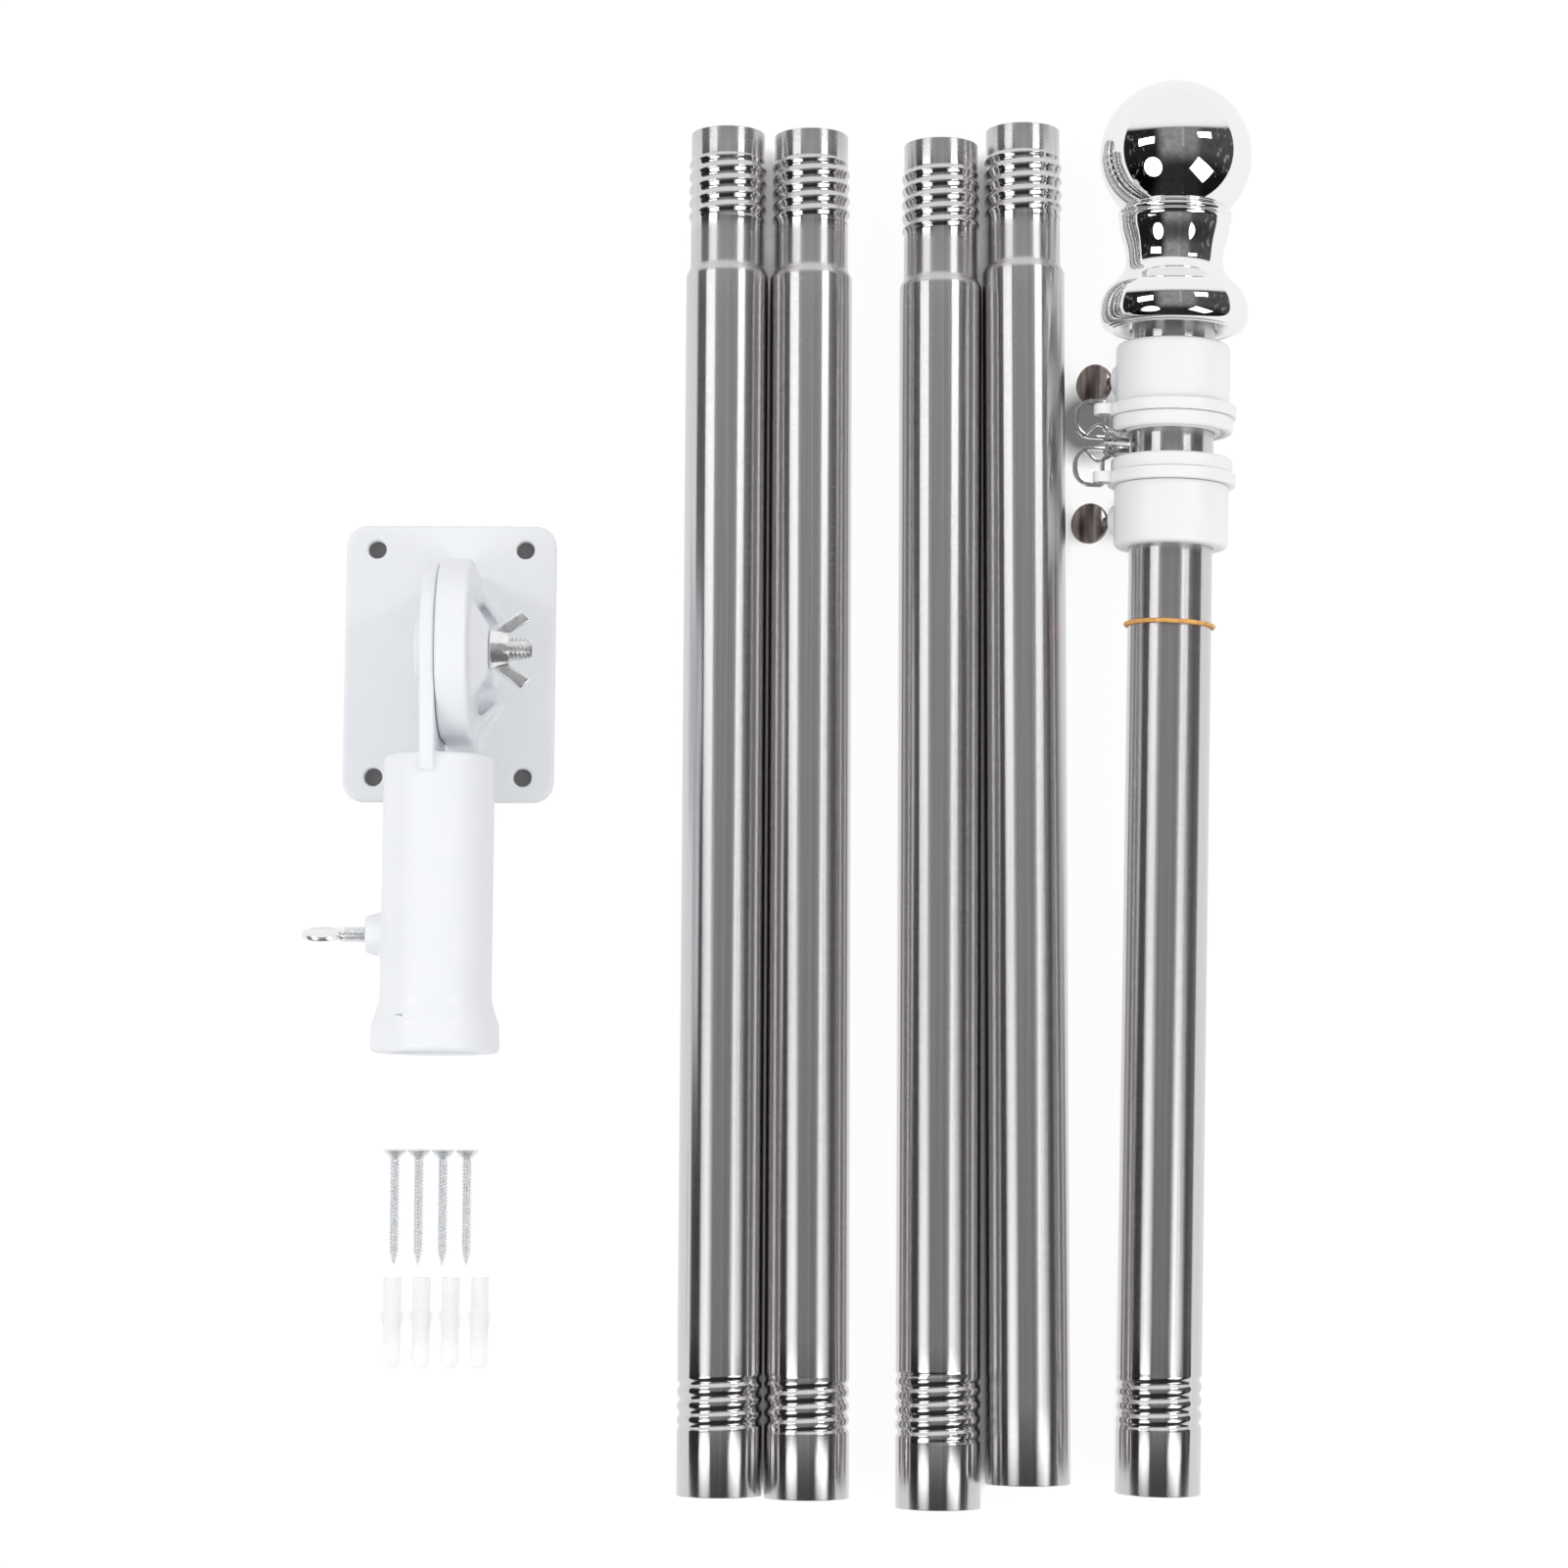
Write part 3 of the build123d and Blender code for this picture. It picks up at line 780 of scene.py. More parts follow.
@dataclass(frozen=True)
class MouldedPlastic:
    """White plastic of the flag rings."""

    colour: Triple = (0.835, 0.838, 0.845)
    roughness: float = 0.34

    def material(self) -> bpy.types.Material:
        """Builds the finish."""
        sheet = Sheet("white moulded plastic", Subsurface_Weight=0.08, Subsurface_Scale=0.001)
        place = sheet.place()
        cloud = sheet.noise(place, 120.0, 3.0)
        sheet.tint(cloud, dimmed(self.colour, 0.975), self.colour)
        sheet.wire("Roughness", sheet.span(cloud, 0.35, 0.65, self.roughness, self.roughness + 0.12))
        sheet.bump(sheet.noise(place, 1700.0), 6.0e-6)
        sheet.bump(cloud, 1.2e-4, 0.4)
        return sheet.material


@dataclass(frozen=True)
class PlugPlastic:
    """Translucent plastic of the wall plugs."""

    colour: Triple = (1.0, 1.0, 1.0)

    def material(self) -> bpy.types.Material:
        """Builds the finish."""
        clear = {"Transmission_Weight": 0.5, "IOR": 1.04, "Roughness": 0.3}
        sheet = Sheet("translucent plug plastic", **clear, Subsurface_Weight=0.2, Subsurface_Scale=0.002)
        cloud = sheet.noise(sheet.place(), 300.0)
        sheet.tint(cloud, dimmed(self.colour, 0.985), self.colour)
        sheet.bump(cloud, 5.0e-5)
        return sheet.material


@dataclass(frozen=True)
class Grain:
    """A noise in Object coordinates.

    Args:
        scale: Its fineness.
        detail: Its octaves.
        stretch: Repeats to the metre on each axis.
    """

    scale: float = 1.0
    detail: float = 2.0
    stretch: Triple = EVEN

    def on(self, sheet: Sheet) -> Socket:
        """The noise in a material."""
        return sheet.noise(sheet.place(self.stretch), self.scale, self.detail)


@dataclass(frozen=True)
class Mottled:
    """A finish whose tone and roughness follow one grain.

    Args:
        name: The material's name.
        metallic: How metallic it is.
        subsurface: How much light it lets through.
        light_reach: How far light goes in it, in metres.
        dark: Tone on the grain's low side.
        light: Tone on its high side.
        rough: Roughness on its low and high side.
        grain: The grain.
        relief: The noise of the surface's relief.
        depth: Depth of the relief.
        strength: Strength of the relief.
    """

    name: str = "mottled"
    metallic: float = 1.0
    subsurface: float = 0.0
    light_reach: float = 0.05
    dark: Triple = EVEN
    light: Triple = EVEN
    rough: tuple[float, float] = (0.1, 0.2)
    grain: Grain = Grain()
    relief: Grain = Grain()
    depth: float = 1.2e-5
    strength: float = 1.0

    def material(self) -> bpy.types.Material:
        """Builds the finish."""
        light = {"Subsurface_Weight": self.subsurface, "Subsurface_Scale": self.light_reach}
        sheet = Sheet(self.name, Metallic=self.metallic, **light)
        grain = self.grain.on(sheet)
        sheet.tint(sheet.span(grain, 0.35, 0.65, 0.0, 1.0), self.dark, self.light)
        sheet.wire("Roughness", sheet.span(grain, 0.3, 0.7, *self.rough))
        sheet.bump(self.relief.on(sheet), self.depth, self.strength)
        return sheet.material


@dataclass(frozen=True)
class ZincPlating(Mottled):
    """Bright zinc on bolt, wing nut and thumb screw."""

    name: str = "bright zinc"
    metallic: float = 0.84
    dark: Triple = (0.82, 0.83, 0.84)
    light: Triple = (0.93, 0.935, 0.94)
    rough: tuple[float, float] = (0.14, 0.28)
    grain: Grain = Grain(700.0)
    relief: Grain = Grain(1500.0)
    depth: float = 1.0e-5
    strength: float = 0.6


@dataclass(frozen=True)
class FrostedZinc(Mottled):
    """Dull pale zinc on the mounting screws."""

    name: str = "frosted zinc"
    metallic: float = 0.62
    dark: Triple = (0.74, 0.77, 0.8)
    light: Triple = (0.93, 0.94, 0.95)
    rough: tuple[float, float] = (0.24, 0.44)
    grain: Grain = Grain(1100.0)
    relief: Grain = Grain(1100.0)


@dataclass(frozen=True)
class NickelPlating(Mottled):
    """Bright nickel on the flag rings' clips, drawn out along local Y."""

    name: str = "bright nickel"
    dark: Triple = (0.72, 0.715, 0.71)
    light: Triple = (0.82, 0.815, 0.81)
    rough: tuple[float, float] = (0.08, 0.2)
    grain: Grain = Grain(1.0, 3.0, (900.0, 240.0, 900.0))
    relief: Grain = Grain(1.0, 3.0, (900.0, 240.0, 900.0))


@dataclass(frozen=True)
class StampedNickel(Mottled):
    """Darker nickel of the coin-headed screws, streaked by the sheet it was stamped from."""

    name: str = "streaked nickel"
    dark: Triple = (0.2, 0.165, 0.15)
    light: Triple = (0.46, 0.41, 0.38)
    rough: tuple[float, float] = (0.1, 0.22)
    grain: Grain = Grain(1.0, 2.0, (620.0, 16.0, 620.0))
    relief: Grain = Grain(1.0, 2.0, (2600.0, 50.0, 2600.0))
    depth: float = 2.0e-6


@dataclass(frozen=True)
class BandRubber(Mottled):
    """Orange rubber of the band."""

    name: str = "orange rubber"
    metallic: float = 0.0
    subsurface: float = 0.15
    light_reach: float = 1.0 * MM
    dark: Triple = (0.6, 0.29, 0.08)
    light: Triple = (0.86, 0.46, 0.12)
    rough: tuple[float, float] = (0.45, 0.65)
    grain: Grain = Grain(420.0, 3.0)
    relief: Grain = Grain(3000.0)
    depth: float = 3.0e-5


class Finishes:
    def __init__(self) -> None:
        """Builds the materials."""
        self.steel = BrushedSteel().material()
        self.chrome = ChromePlating().material()
        self.enamel = PowderCoat().material()
        self.plastic = MouldedPlastic().material()
        self.zinc = ZincPlating().material()
        self.frosted = FrostedZinc().material()
        self.nickel = NickelPlating().material()
        self.coin = StampedNickel().material()
        self.plug = PlugPlastic().material()
        self.rubber = BandRubber().material()


class Hinges:
    """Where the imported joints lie.

    Args:
        joints: The frame's joints.
    """

    def __init__(self, joints: list[dict]) -> None:
        """Keeps the joints by name."""
        self.by_name = {joint["name"]: joint for joint in joints}

    def place(self, name: str) -> Vector:
        """A joint's anchor point."""
        return Vector(self.by_name[name]["pos_m"])

    def axis(self, name: str) -> Vector:
        """A joint's axis."""
        return Vector(self.by_name[name]["axis"]).normalized()


@dataclass
class PoleSections:
    """The five rolled tubes."""

    finishes: Finishes
    pole: Lay
    radius: float = TUBE_RADIUS
    wall: float = 0.55 * MM
    neck_radius: float = 11.4 * MM
    body_length: float = 369.9 * MM
    base_body_length: float = 367.6 * MM
    spigot_length: float = 46.0 * MM
    shoulder: float = 4.0 * MM
    pitch: float = 4.2 * MM
    ridge_height: float = 0.66 * MM
    groove_depth: float = 0.66 * MM
    first_ridge: float = 8.2 * MM
    ridge_turns: float = 5.0
    first_groove: float = 18.8 * MM
    groove_turns: float = 4.1
    long_groove_turns: float = 5.1
    rim: float = 0.18 * MM
    land_margin: float = 3.6 * MM
    burnish_margin: float = 1.5 * MM
    ridge_share: float = 0.46
    groove_share: float = 0.4
    body_row: float = 24.0 * MM
    steps: int = 80
    rows: int = 13
    third_yaw: float = 0.17

    def grooves(self, turns: float, phase: float) -> Helix:
        """The helix near a tube's open end.

        Args:
            turns: How many turns it has.
            phase: Where in a turn it starts.

        Returns:
            The helix.
        """
        start, depth = self.first_groove, self.groove_depth
        end = start + turns * self.pitch
        return Helix(start, end, self.pitch, depth, self.groove_share, ThreadForm.GROOVE, phase)

    def ridges(self, body: float, phase: float) -> Helix:
        """The helix on a tube's reduced end.

        Args:
            body: Length of the tube's full-size part.
            phase: Where in a turn it starts.

        Returns:
            The helix.
        """
        end = body + self.spigot_length - self.first_ridge
        start = end - self.ridge_turns * self.pitch
        return Helix(start, end, self.pitch, self.ridge_height, self.ridge_share, ThreadForm.RIDGE, phase)

    def outer(self, body: float, helices: list[Helix], spigot: bool) -> Profile:
        """Outer outline from the open end to the other end.

        Args:
            body: Length of its full-size part.
            helices: Its rolled threads.
            spigot: Whether it has a reduced end.

        Returns:
            The outline's points.
        """
        stations = [self.rim * 1.5] + [h for helix in helices for h in helix.stations(self.rows)]
        stations += [self.body_row * i for i in range(1, int(body / self.body_row) + 1)]
        profile = [(s, self.radius) for s in sorted(stations) if s < body - self.rim]
        if not spigot:
            return profile + [(body - self.rim, self.radius), (body, self.radius - self.rim)]
        neck = body + self.shoulder
        bend = self.shoulder * 0.45
        profile += curve((body, self.radius), (body + bend, self.radius),
                         (neck - bend, self.neck_radius), (neck, self.neck_radius), 10)
        tip = body + self.spigot_length
        stations.append(helices[0].start - self.land_margin)
        inner = [(s, self.neck_radius) for s in sorted(stations) if neck + self.rim < s < tip - self.rim]
        return profile + inner + [(tip - self.rim, self.neck_radius), (tip, self.neck_radius - self.rim)]

    def section(self, body: float, helices: list[Helix], spigot: bool) -> Shell:
        """Spins one tube.

        Args:
            body: Length of its full-size part.
            helices: Its rolled threads.
            spigot: Whether it has a reduced end.

        Returns:
            The tube in its own frame.
        """
        outer = [(0.0, self.radius - self.rim)] + self.outer(body, helices, spigot)
        inner = [(s, r - self.wall) for s, r in reversed(outer[1:-1])]
        tip = [(outer[-1][0], outer[-1][1] - self.wall / 2)]
        root = [(0.0, self.radius - self.wall)]

        def shift(station: float, angle: float) -> float:
            """Radial move of all threads together."""
            return sum(helix.shift(station, angle) for helix in helices if helix.start < station < helix.end)

        bm = turned(outer + tip + inner + root, self.steps, shift)
        wrap_turned_uv(bm)
        margin = self.burnish_margin
        dull_from = body + self.shoulder / 2 if spigot else outer[-1][0]
        paint_burnish(bm, [(h.start - margin, h.end + margin) for h in helices], dull_from)
        return bm

    def publish(self, node: str, bm: Shell, lay: Lay) -> None:
        """Lays a tube in its place and dresses it."""
        piece = Piece.of(node, "kit", "stainless_steel", self.finishes.steel)
        piece.publish(placed(bm, lay.matrix()))

    def loose(self, node: str, turns: float, phases: tuple[float, float], yaw: float = 0.0,
              end: OpenEnd = OpenEnd.GROOVED) -> None:
        """Builds one loose section where its CAD node lies.

        Args:
            node: The CAD node.
            turns: Turns of the grooves at its open end.
            phases: Where in a turn the grooves and the ridges start.
            yaw: Its turn from the row's length, in degrees.
            end: What its open end carries.
        """
        grooved = end is OpenEnd.GROOVED
        body = self.body_length if grooved else self.base_body_length
        low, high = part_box(node)
        helices = [self.ridges(body, phases[1])]
        if grooved:
            helices.append(self.grooves(turns, phases[0]))
        across = math.radians(yaw)
        along = Vector((math.sin(across), math.cos(across), 0.0))
        start = Vector((low.x + self.radius, low.y, (low.z + high.z) / 2))
        self.publish(node, self.section(body, helices, True), Lay(start, along, UP))

    def build(self) -> None:
        """Builds all five tubes."""
        self.loose("middle_section_1", self.groove_turns, (0.5, 0.1))
        self.loose("middle_section_2", self.groove_turns, (0.8, 0.2))
        self.loose("middle_section_3", self.long_groove_turns, (0.95, 0.35), self.third_yaw)
        self.loose("base_section", 0.0, (0.0, 0.15), end=OpenEnd.PLAIN)
        helices = [self.grooves(self.groove_turns, 0.67)]
        self.publish("top_section", self.section(self.body_length, helices, False), self.pole)


@dataclass
class Finial:
    """Chromed ball on a waisted stem."""

    finishes: Finishes
    pole: Lay
    foot_start: float = 350.4 * MM
    stem_height: float = 38.03 * MM
    rim_radius: float = 19.0 * MM
    foot_radius: float = 22.7 * MM
    foot_widest: float = 5.8 * MM
    shoulder: float = 13.2 * MM
    shoulder_radius: float = 20.5 * MM
    waist: float = 22.2 * MM
    waist_radius: float = 14.9 * MM
    neck_start: float = 23.2 * MM
    neck_end: float = 33.5 * MM
    neck_radius: float = 16.95 * MM
    lip_height: float = 3.4 * MM
    tube_cover: float = 19.6 * MM
    seat_radius: float = 15.8 * MM
    ball_radius: float = 23.35 * MM
    socket_radius: float = 12.85 * MM
    hollow_floor: float = 9.0 * MM
    crease_rise: float = 1.0 * MM
    rim_bead: float = 0.5 * MM
    lip_bead: float = 1.1 * MM
    steps: int = 128
    sharp: float = 60.0

    def stem_profile(self) -> Profile:
        """Outline of the stem from the foot's hollow over the foot, waist and lip to the ball's seat."""
        lip = self.stem_height - self.lip_height
        foot = curve((0.5 * MM, self.rim_radius + 0.6 * MM), (0.6 * MM, self.foot_radius - 1.2 * MM),
                     (2.6 * MM, self.foot_radius), (self.foot_widest, self.foot_radius), 14)
        over = curve((self.foot_widest, self.foot_radius), (9.2 * MM, self.foot_radius),
                     (11.4 * MM, 21.9 * MM), (self.shoulder, self.shoulder_radius), 14)
        flare = curve((self.shoulder, self.shoulder_radius), (16.2 * MM, 17.5 * MM),
                      (17.4 * MM, self.waist_radius), (self.waist, self.waist_radius), 24)
        bend = (self.neck_end - self.neck_start) * 0.3
        neck = curve((self.neck_start, self.waist_radius), (self.neck_start + bend, self.waist_radius),
                     (self.neck_end - bend, self.neck_radius), (self.neck_end, self.neck_radius), 24)
        crease = lip + self.crease_rise
        rim = arc((lip + self.rim_bead, self.neck_radius - 0.1 * MM), self.rim_bead, 170, 20, 8)
        rim += arc((crease + self.lip_bead, self.neck_radius - 0.55 * MM), self.lip_bead, 160, 10, 14)
        hollow = curve((self.hollow_floor, self.socket_radius), (4.0 * MM, 13.4 * MM),
                       (1.4 * MM, 15.4 * MM), (0.4 * MM, self.rim_radius - 1.0 * MM), 14)
        lip_under = arc((0.9 * MM, self.rim_radius - 0.2 * MM), 0.8 * MM, 250, 120, 6)
        spans = [hollow, lip_under, foot, over[1:], flare[1:], neck[1:], rim[1:]]
        top = [(self.stem_height - 0.1 * MM, self.seat_radius), (self.stem_height - 0.1 * MM, 0.0)]
        bottom = [(self.tube_cover, 0.0), (self.tube_cover, self.socket_radius)]
        return [(self.foot_start + s, r) for span in spans + [top, bottom] for s, r in span]

    def ball_profile(self) -> Profile:
        """Outline of the ball from its seat on the stem to its top."""
        seat = self.foot_start + self.stem_height
        centre = seat + math.sqrt(self.ball_radius**2 - self.seat_radius**2)
        first = 180 - math.degrees(math.asin(self.seat_radius / self.ball_radius))
        outline = [(seat, 0.0)] + arc((centre, 0.0), self.ball_radius, first, 0, 72)
        outline[-1] = (centre + self.ball_radius, 0.0)
        return outline

    def build(self) -> None:
        """Builds the stem and the ball."""
        stem = turned(self.stem_profile(), self.steps)
        ball = turned(self.ball_profile(), self.steps, closed=False)
        for node, bm in (("finial_stem", stem), ("finial_ball", ball)):
            piece = Piece.of(node, "kit", "chrome_plating", self.finishes.chrome)
            piece.publish(placed(bm, self.pole.matrix()), self.sharp)


@dataclass
class RubberBand:
    """Thin band twisted round the top section."""

    finishes: Finishes
    pole: Lay
    station: float = 259.7 * MM
    tube_radius: float = TUBE_RADIUS
    radius: float = 0.62 * MM
    tilt: float = 0.02
    waver: float = 0.12 * MM
    waver_scale: float = 320.0
    steps: int = 96

    def build(self) -> None:
        """Builds the band as a slightly tilted, uneven ring."""
        wire = arc((0.0, self.tube_radius + self.radius), self.radius, 0, 345, 23)
        bm = turned([(self.station + s, r) for s, r in wire], self.steps)
        for vert in bm.verts:
            lean = math.sin(math.atan2(vert.co.y, vert.co.z)) * self.tube_radius * self.tilt
            vert.co.x += lean + self.waver * noise.noise(vert.co * self.waver_scale)
        piece = Piece.of("rubber_band", "kit", "orange_rubber", self.finishes.rubber)
        piece.publish(placed(bm, self.pole.matrix()), 80.0)


@dataclass(frozen=True)
class ThumbScrew:
    """A threaded shank with a flat, coin-like paddle.

    Args:
        radius: Over the thread's crests.
        pitch: Of the thread.
        depth: Of the thread.
        paddle: Radius of the coin.
        root: How far the shank runs into the coin.
        steps: Divisions round the shank.
        thickness: Of the coin.
        edge: Rounding of the coin's edges.
        tip_taper: How far the thread starts behind the tip.
        tip_inset: How much narrower the tip is than the core.
        thread_share: Share of the pitch that the thread takes.
        thread_rows: Rows of vertices to a pitch.
        coin_steps: Divisions round the coin.
    """

    radius: float
    pitch: float
    depth: float
    paddle: float
    root: float
    steps: int
    thickness: float = 1.5 * MM
    edge: float = 0.3 * MM
    tip_taper: float = 0.3 * MM
    tip_inset: float = 0.2 * MM
    thread_share: float = 0.5
    thread_rows: int = 8
    coin_steps: int = 96

    def shell(self, lay: Lay, tip: float, seat: float, facing: Vector) -> Shell:
        """Makes the screw.

        Args:
            lay: Its frame, local X out along the shank.
            tip: Station of the shank's tip.
            seat: Station where the coin starts.
            facing: Direction that the coin's flat side faces.

        Returns:
            The screw in the row frame.
        """
        start, share = tip + self.tip_taper, self.thread_share
        helix = Helix(start, seat, self.pitch, self.depth, share, ThreadForm.RIDGE)
        core = self.radius - self.depth
        profile = [(tip, 0.0), (tip, core - self.tip_inset)]
        profile += [(s, core) for s in helix.stations(self.thread_rows)]
        profile += [(seat + self.root, core), (seat + self.root, 0.0)]
        shank = turned(profile, self.steps, helix.shift, closed=False)
        half = self.thickness / 2
        outline = [(-half, 0.0), (-half, self.paddle), (half, self.paddle), (half, 0.0)]
        coin = turned(outline, self.coin_steps, closed=False)
        soften(coin, self.edge)
        coin_lay = Lay(lay.origin + lay.along * (seat + self.paddle), facing, lay.along)
        return joined([placed(shank, lay.matrix()), placed(coin, coin_lay.matrix())])


@dataclass
class FlagRing:
    """Collar, swivel ring, retaining cap, clip and thumb screw of one flag ring.

    Its own frame has local X along the pole towards the other ring, local Z out through the lug.
    """

    finishes: Finishes
    hinges: Hinges
    prefix: str
    tube_radius: float = TUBE_RADIUS
    collar_inner: float = 12.8 * MM
    collar_outer: float = 17.4 * MM
    collar_length: float = 19.0 * MM
    neck: float = 14.8 * MM
    ring_outer: float = 19.5 * MM
    ring_thickness: float = 3.6 * MM
    end_play: float = 0.15 * MM
    cap_outer: float = 18.5 * MM
    cap_thickness: float = 4.5 * MM
    cap_bevel: float = 1.4 * MM
    boss_radius: float = 5.5 * MM
    boss_reach: float = 2.2 * MM
    lug_eye: float = 2.0 * MM
    lug_wall: float = 1.3 * MM
    strip: float = 0.95 * MM
    strip_width: float = 2.5 * MM
    gate_width: float = 3.6 * MM
    reach: float = 9.4 * MM
    rings_apart: float = 8.1 * MM
    face_gap: float = 0.6 * MM
    pole_gap: float = 0.8 * MM
    mid_gap: float = 0.5 * MM
    loop_bend: float = 5.4 * MM
    gate: float = 1.5 * MM
    cheek: float = 3.2 * MM
    sheet: float = 0.45 * MM
    rivet: float = 0.85 * MM
    paddle_gap: float = 2.2 * MM
    tip_gap: float = 0.15 * MM
    moulded_edge: float = 0.28 * MM
    moulded_steps: int = 96
    boss_steps: int = 48
    eye_steps: int = 40
    eye_edge: float = 0.3 * MM
    eye_inset: float = 0.15 * MM
    nose_bend: float = 1.2 * MM
    cap_bend: float = 1.4 * MM
    back_bend: float = 0.8 * MM
    hook_edge: float = 0.16 * MM
    leaf_share: float = 0.8
    leaf_bend: float = 3.0 * MM
    leaf_edge: float = 0.1 * MM
    sheet_edge: float = 0.13 * MM
    stamped_sharp: float = 50.0
    rivet_head: float = 0.5 * MM
    rivet_steps: int = 24
    screw: ThumbScrew = ThumbScrew(1.95 * MM, 0.7 * MM, 0.28 * MM, 6.3 * MM, 1.0 * MM, 28)

    def joint(self, name: str) -> Vector:
        """Anchor of one of this ring's joints."""
        return self.hinges.place(f"{self.prefix}_{name}")

    def ring_lay(self) -> Lay:
        """Frame at the swivel ring's middle."""
        centre = self.joint("ring_spin")
        other = "upper" if self.prefix == "lower" else "lower"
        towards = self.hinges.place(f"{other}_ring_spin") - centre
        return Lay(centre, towards.normalized(), (self.joint("clip_swing") - centre).normalized())

    def screw_lay(self) -> Lay:
        """Frame at the collar's middle, local Z out through the thumb screw."""
        out = self.hinges.axis(f"{self.prefix}_screw_turn")
        return Lay(self.joint("screw_turn") - out * self.collar_outer, self.ring_lay().along, out)

    def plastic(self, part: str, body: str, profile: Profile, extra: list[Shell]) -> None:
        """Spins a plastic piece about the pole, rounds it and adds shells to it.

        Args:
            part: Its name after the ring's.
            body: The CAD body that it rides on.
            profile: Its outline.
            extra: Shells to add, in the row frame.
        """
        bm = turned(profile, self.moulded_steps)
        soften(bm, self.moulded_edge)
        whole = joined([placed(bm, self.ring_lay().matrix())] + extra)
        Piece.of(f"{self.prefix}_{part}", body, "white_plastic", self.finishes.plastic).publish(whole)

    def nickel(self, name: str, nodes: tuple[str, ...], bm: Shell, sharp: float = 40.0) -> None:
        """Dresses one nickel-plated piece of the clip.

        Args:
            name: The piece's name.
            nodes: The CAD nodes that it stands for.
            bm: The piece in the row frame.
            sharp: Angle in degrees past which an edge stays sharp.
        """
        material = self.finishes.nickel
        piece = Piece(name, f"{self.prefix}_clip", nodes, "nickel_plated_steel", material)
        piece.publish(bm, sharp)

    def collar(self) -> None:
        """The clamped collar with its screw boss and the neck that carries ring and cap."""
        near = -self.ring_thickness / 2 - self.end_play
        start = near - self.collar_length
        cap_far = self.ring_thickness / 2 + self.end_play + self.cap_thickness
        outer = self.collar_outer
        rounding = curve((start, outer - 1.9 * MM), (start, outer - 0.5 * MM),
                         (start + 0.6 * MM, outer), (start + 2.4 * MM, outer), 8)
        profile = [(start, self.collar_inner)] + rounding
        profile += [(near, outer), (near, self.neck), (cap_far, self.neck), (cap_far, self.collar_inner)]
        tip = outer + self.boss_reach
        dome = curve((self.neck, self.boss_radius), (tip, self.boss_radius),
                     (tip, self.boss_radius - 0.4 * MM), (tip, self.boss_radius - 1.8 * MM), 10)
        boss = turned([(self.neck, 0.0)] + dome + [(tip, 0.0)], self.boss_steps, closed=False)
        screw = self.screw_lay()
        upright = Lay(screw.origin, screw.out, screw.along)
        self.plastic("collar", "kit", profile, [placed(boss, upright.matrix())])

    def cap(self) -> None:
        """The retaining cap with its bevelled mouth."""
        near = self.ring_thickness / 2 + self.end_play
        far = near + self.cap_thickness
        inner, outer = self.neck + 0.05 * MM, self.cap_outer
        profile = [(near, inner), (near, outer), (far - 0.7 * MM, outer), (far, outer - 0.7 * MM),
                   (far, inner + self.cap_bevel), (far - self.cap_bevel, inner)]
        self.plastic("retaining_cap", "kit", profile, [])

    def swivel_ring(self) -> None:
        """The ring that turns on the collar's neck, with its lug and eye."""
        half = self.ring_thickness / 2
        inner = self.neck + 0.1 * MM
        profile = [(-half, inner), (-half, self.ring_outer), (half, self.ring_outer), (half, inner)]
        lay = self.ring_lay()
        side, eye, rim = half - self.eye_inset, self.lug_eye, self.lug_eye + self.lug_wall
        loop = turned([(-side, eye), (-side, rim), (side, rim), (side, eye)], self.eye_steps)
        soften(loop, self.eye_edge)
        eyelet = placed(loop, Lay(self.joint("clip_swing"), lay.along, lay.out).matrix())
        self.plastic("swivel_ring", f"{self.prefix}_ring", profile, [eyelet])

    def clip(self) -> None:
        """The stamped hook strip, its riveted gate and the leaf spring behind the gate."""
        lay = self.ring_lay()
        frame = lay.matrix()
        half = self.ring_thickness / 2
        cap_face = half + self.end_play + self.cap_thickness
        eye = (self.joint("clip_swing") - lay.origin).length
        back = -(half + self.face_gap + self.strip / 2)
        nose = cap_face + self.face_gap + self.strip / 2
        near = self.tube_radius + self.pole_gap
        far = eye + self.reach
        fold = cap_face + self.rings_apart / 2 - self.mid_gap
        gate_at = fold - self.gate / 2
        hook = ribbon(rounded_route([
            (nose, near, 0.0), (nose, eye - self.lug_eye - self.lug_wall, self.nose_bend),
            (cap_face - self.strip, eye, self.cap_bend), (back, eye, self.back_bend),
            (back, far, self.loop_bend), (gate_at, far, self.loop_bend), (gate_at, eye - 1.0 * MM, 0.0),
        ], 10), self.strip_width, self.strip)
        soften(hook, self.hook_edge, self.stamped_sharp, 2)
        node = f"{self.prefix}_clip_hook"
        self.nickel(f"dressed_{node}", (node,), placed(hook, frame))
        rivet_out = eye - self.lug_eye
        channel = self.gate_channel(fold, near, rivet_out + 2 * self.strip)
        at_rivet = lay.origin + lay.along * gate_at + lay.out * rivet_out
        pin = placed(self.rivet_pin(), Lay(at_rivet, lay.out.cross(lay.along), lay.out).matrix())
        node = f"{self.prefix}_clip_gate"
        self.nickel(f"dressed_{node}", (node,), joined([placed(channel, frame), pin]), 30.0)
        leaf = self.strip * self.leaf_share
        spring = ribbon(rounded_route([
            (gate_at - leaf, near + 1.4 * MM, 0.0),
            (cap_face - 2.6 * MM, eye + 2.2 * MM, self.leaf_bend),
            (gate_at - leaf, far - 2.4 * MM, 0.0),
        ], 12), self.strip_width, leaf)
        soften(spring, self.leaf_edge, self.stamped_sharp, 2)
        self.nickel(f"{self.prefix}_clip_spring", (), placed(spring, frame))

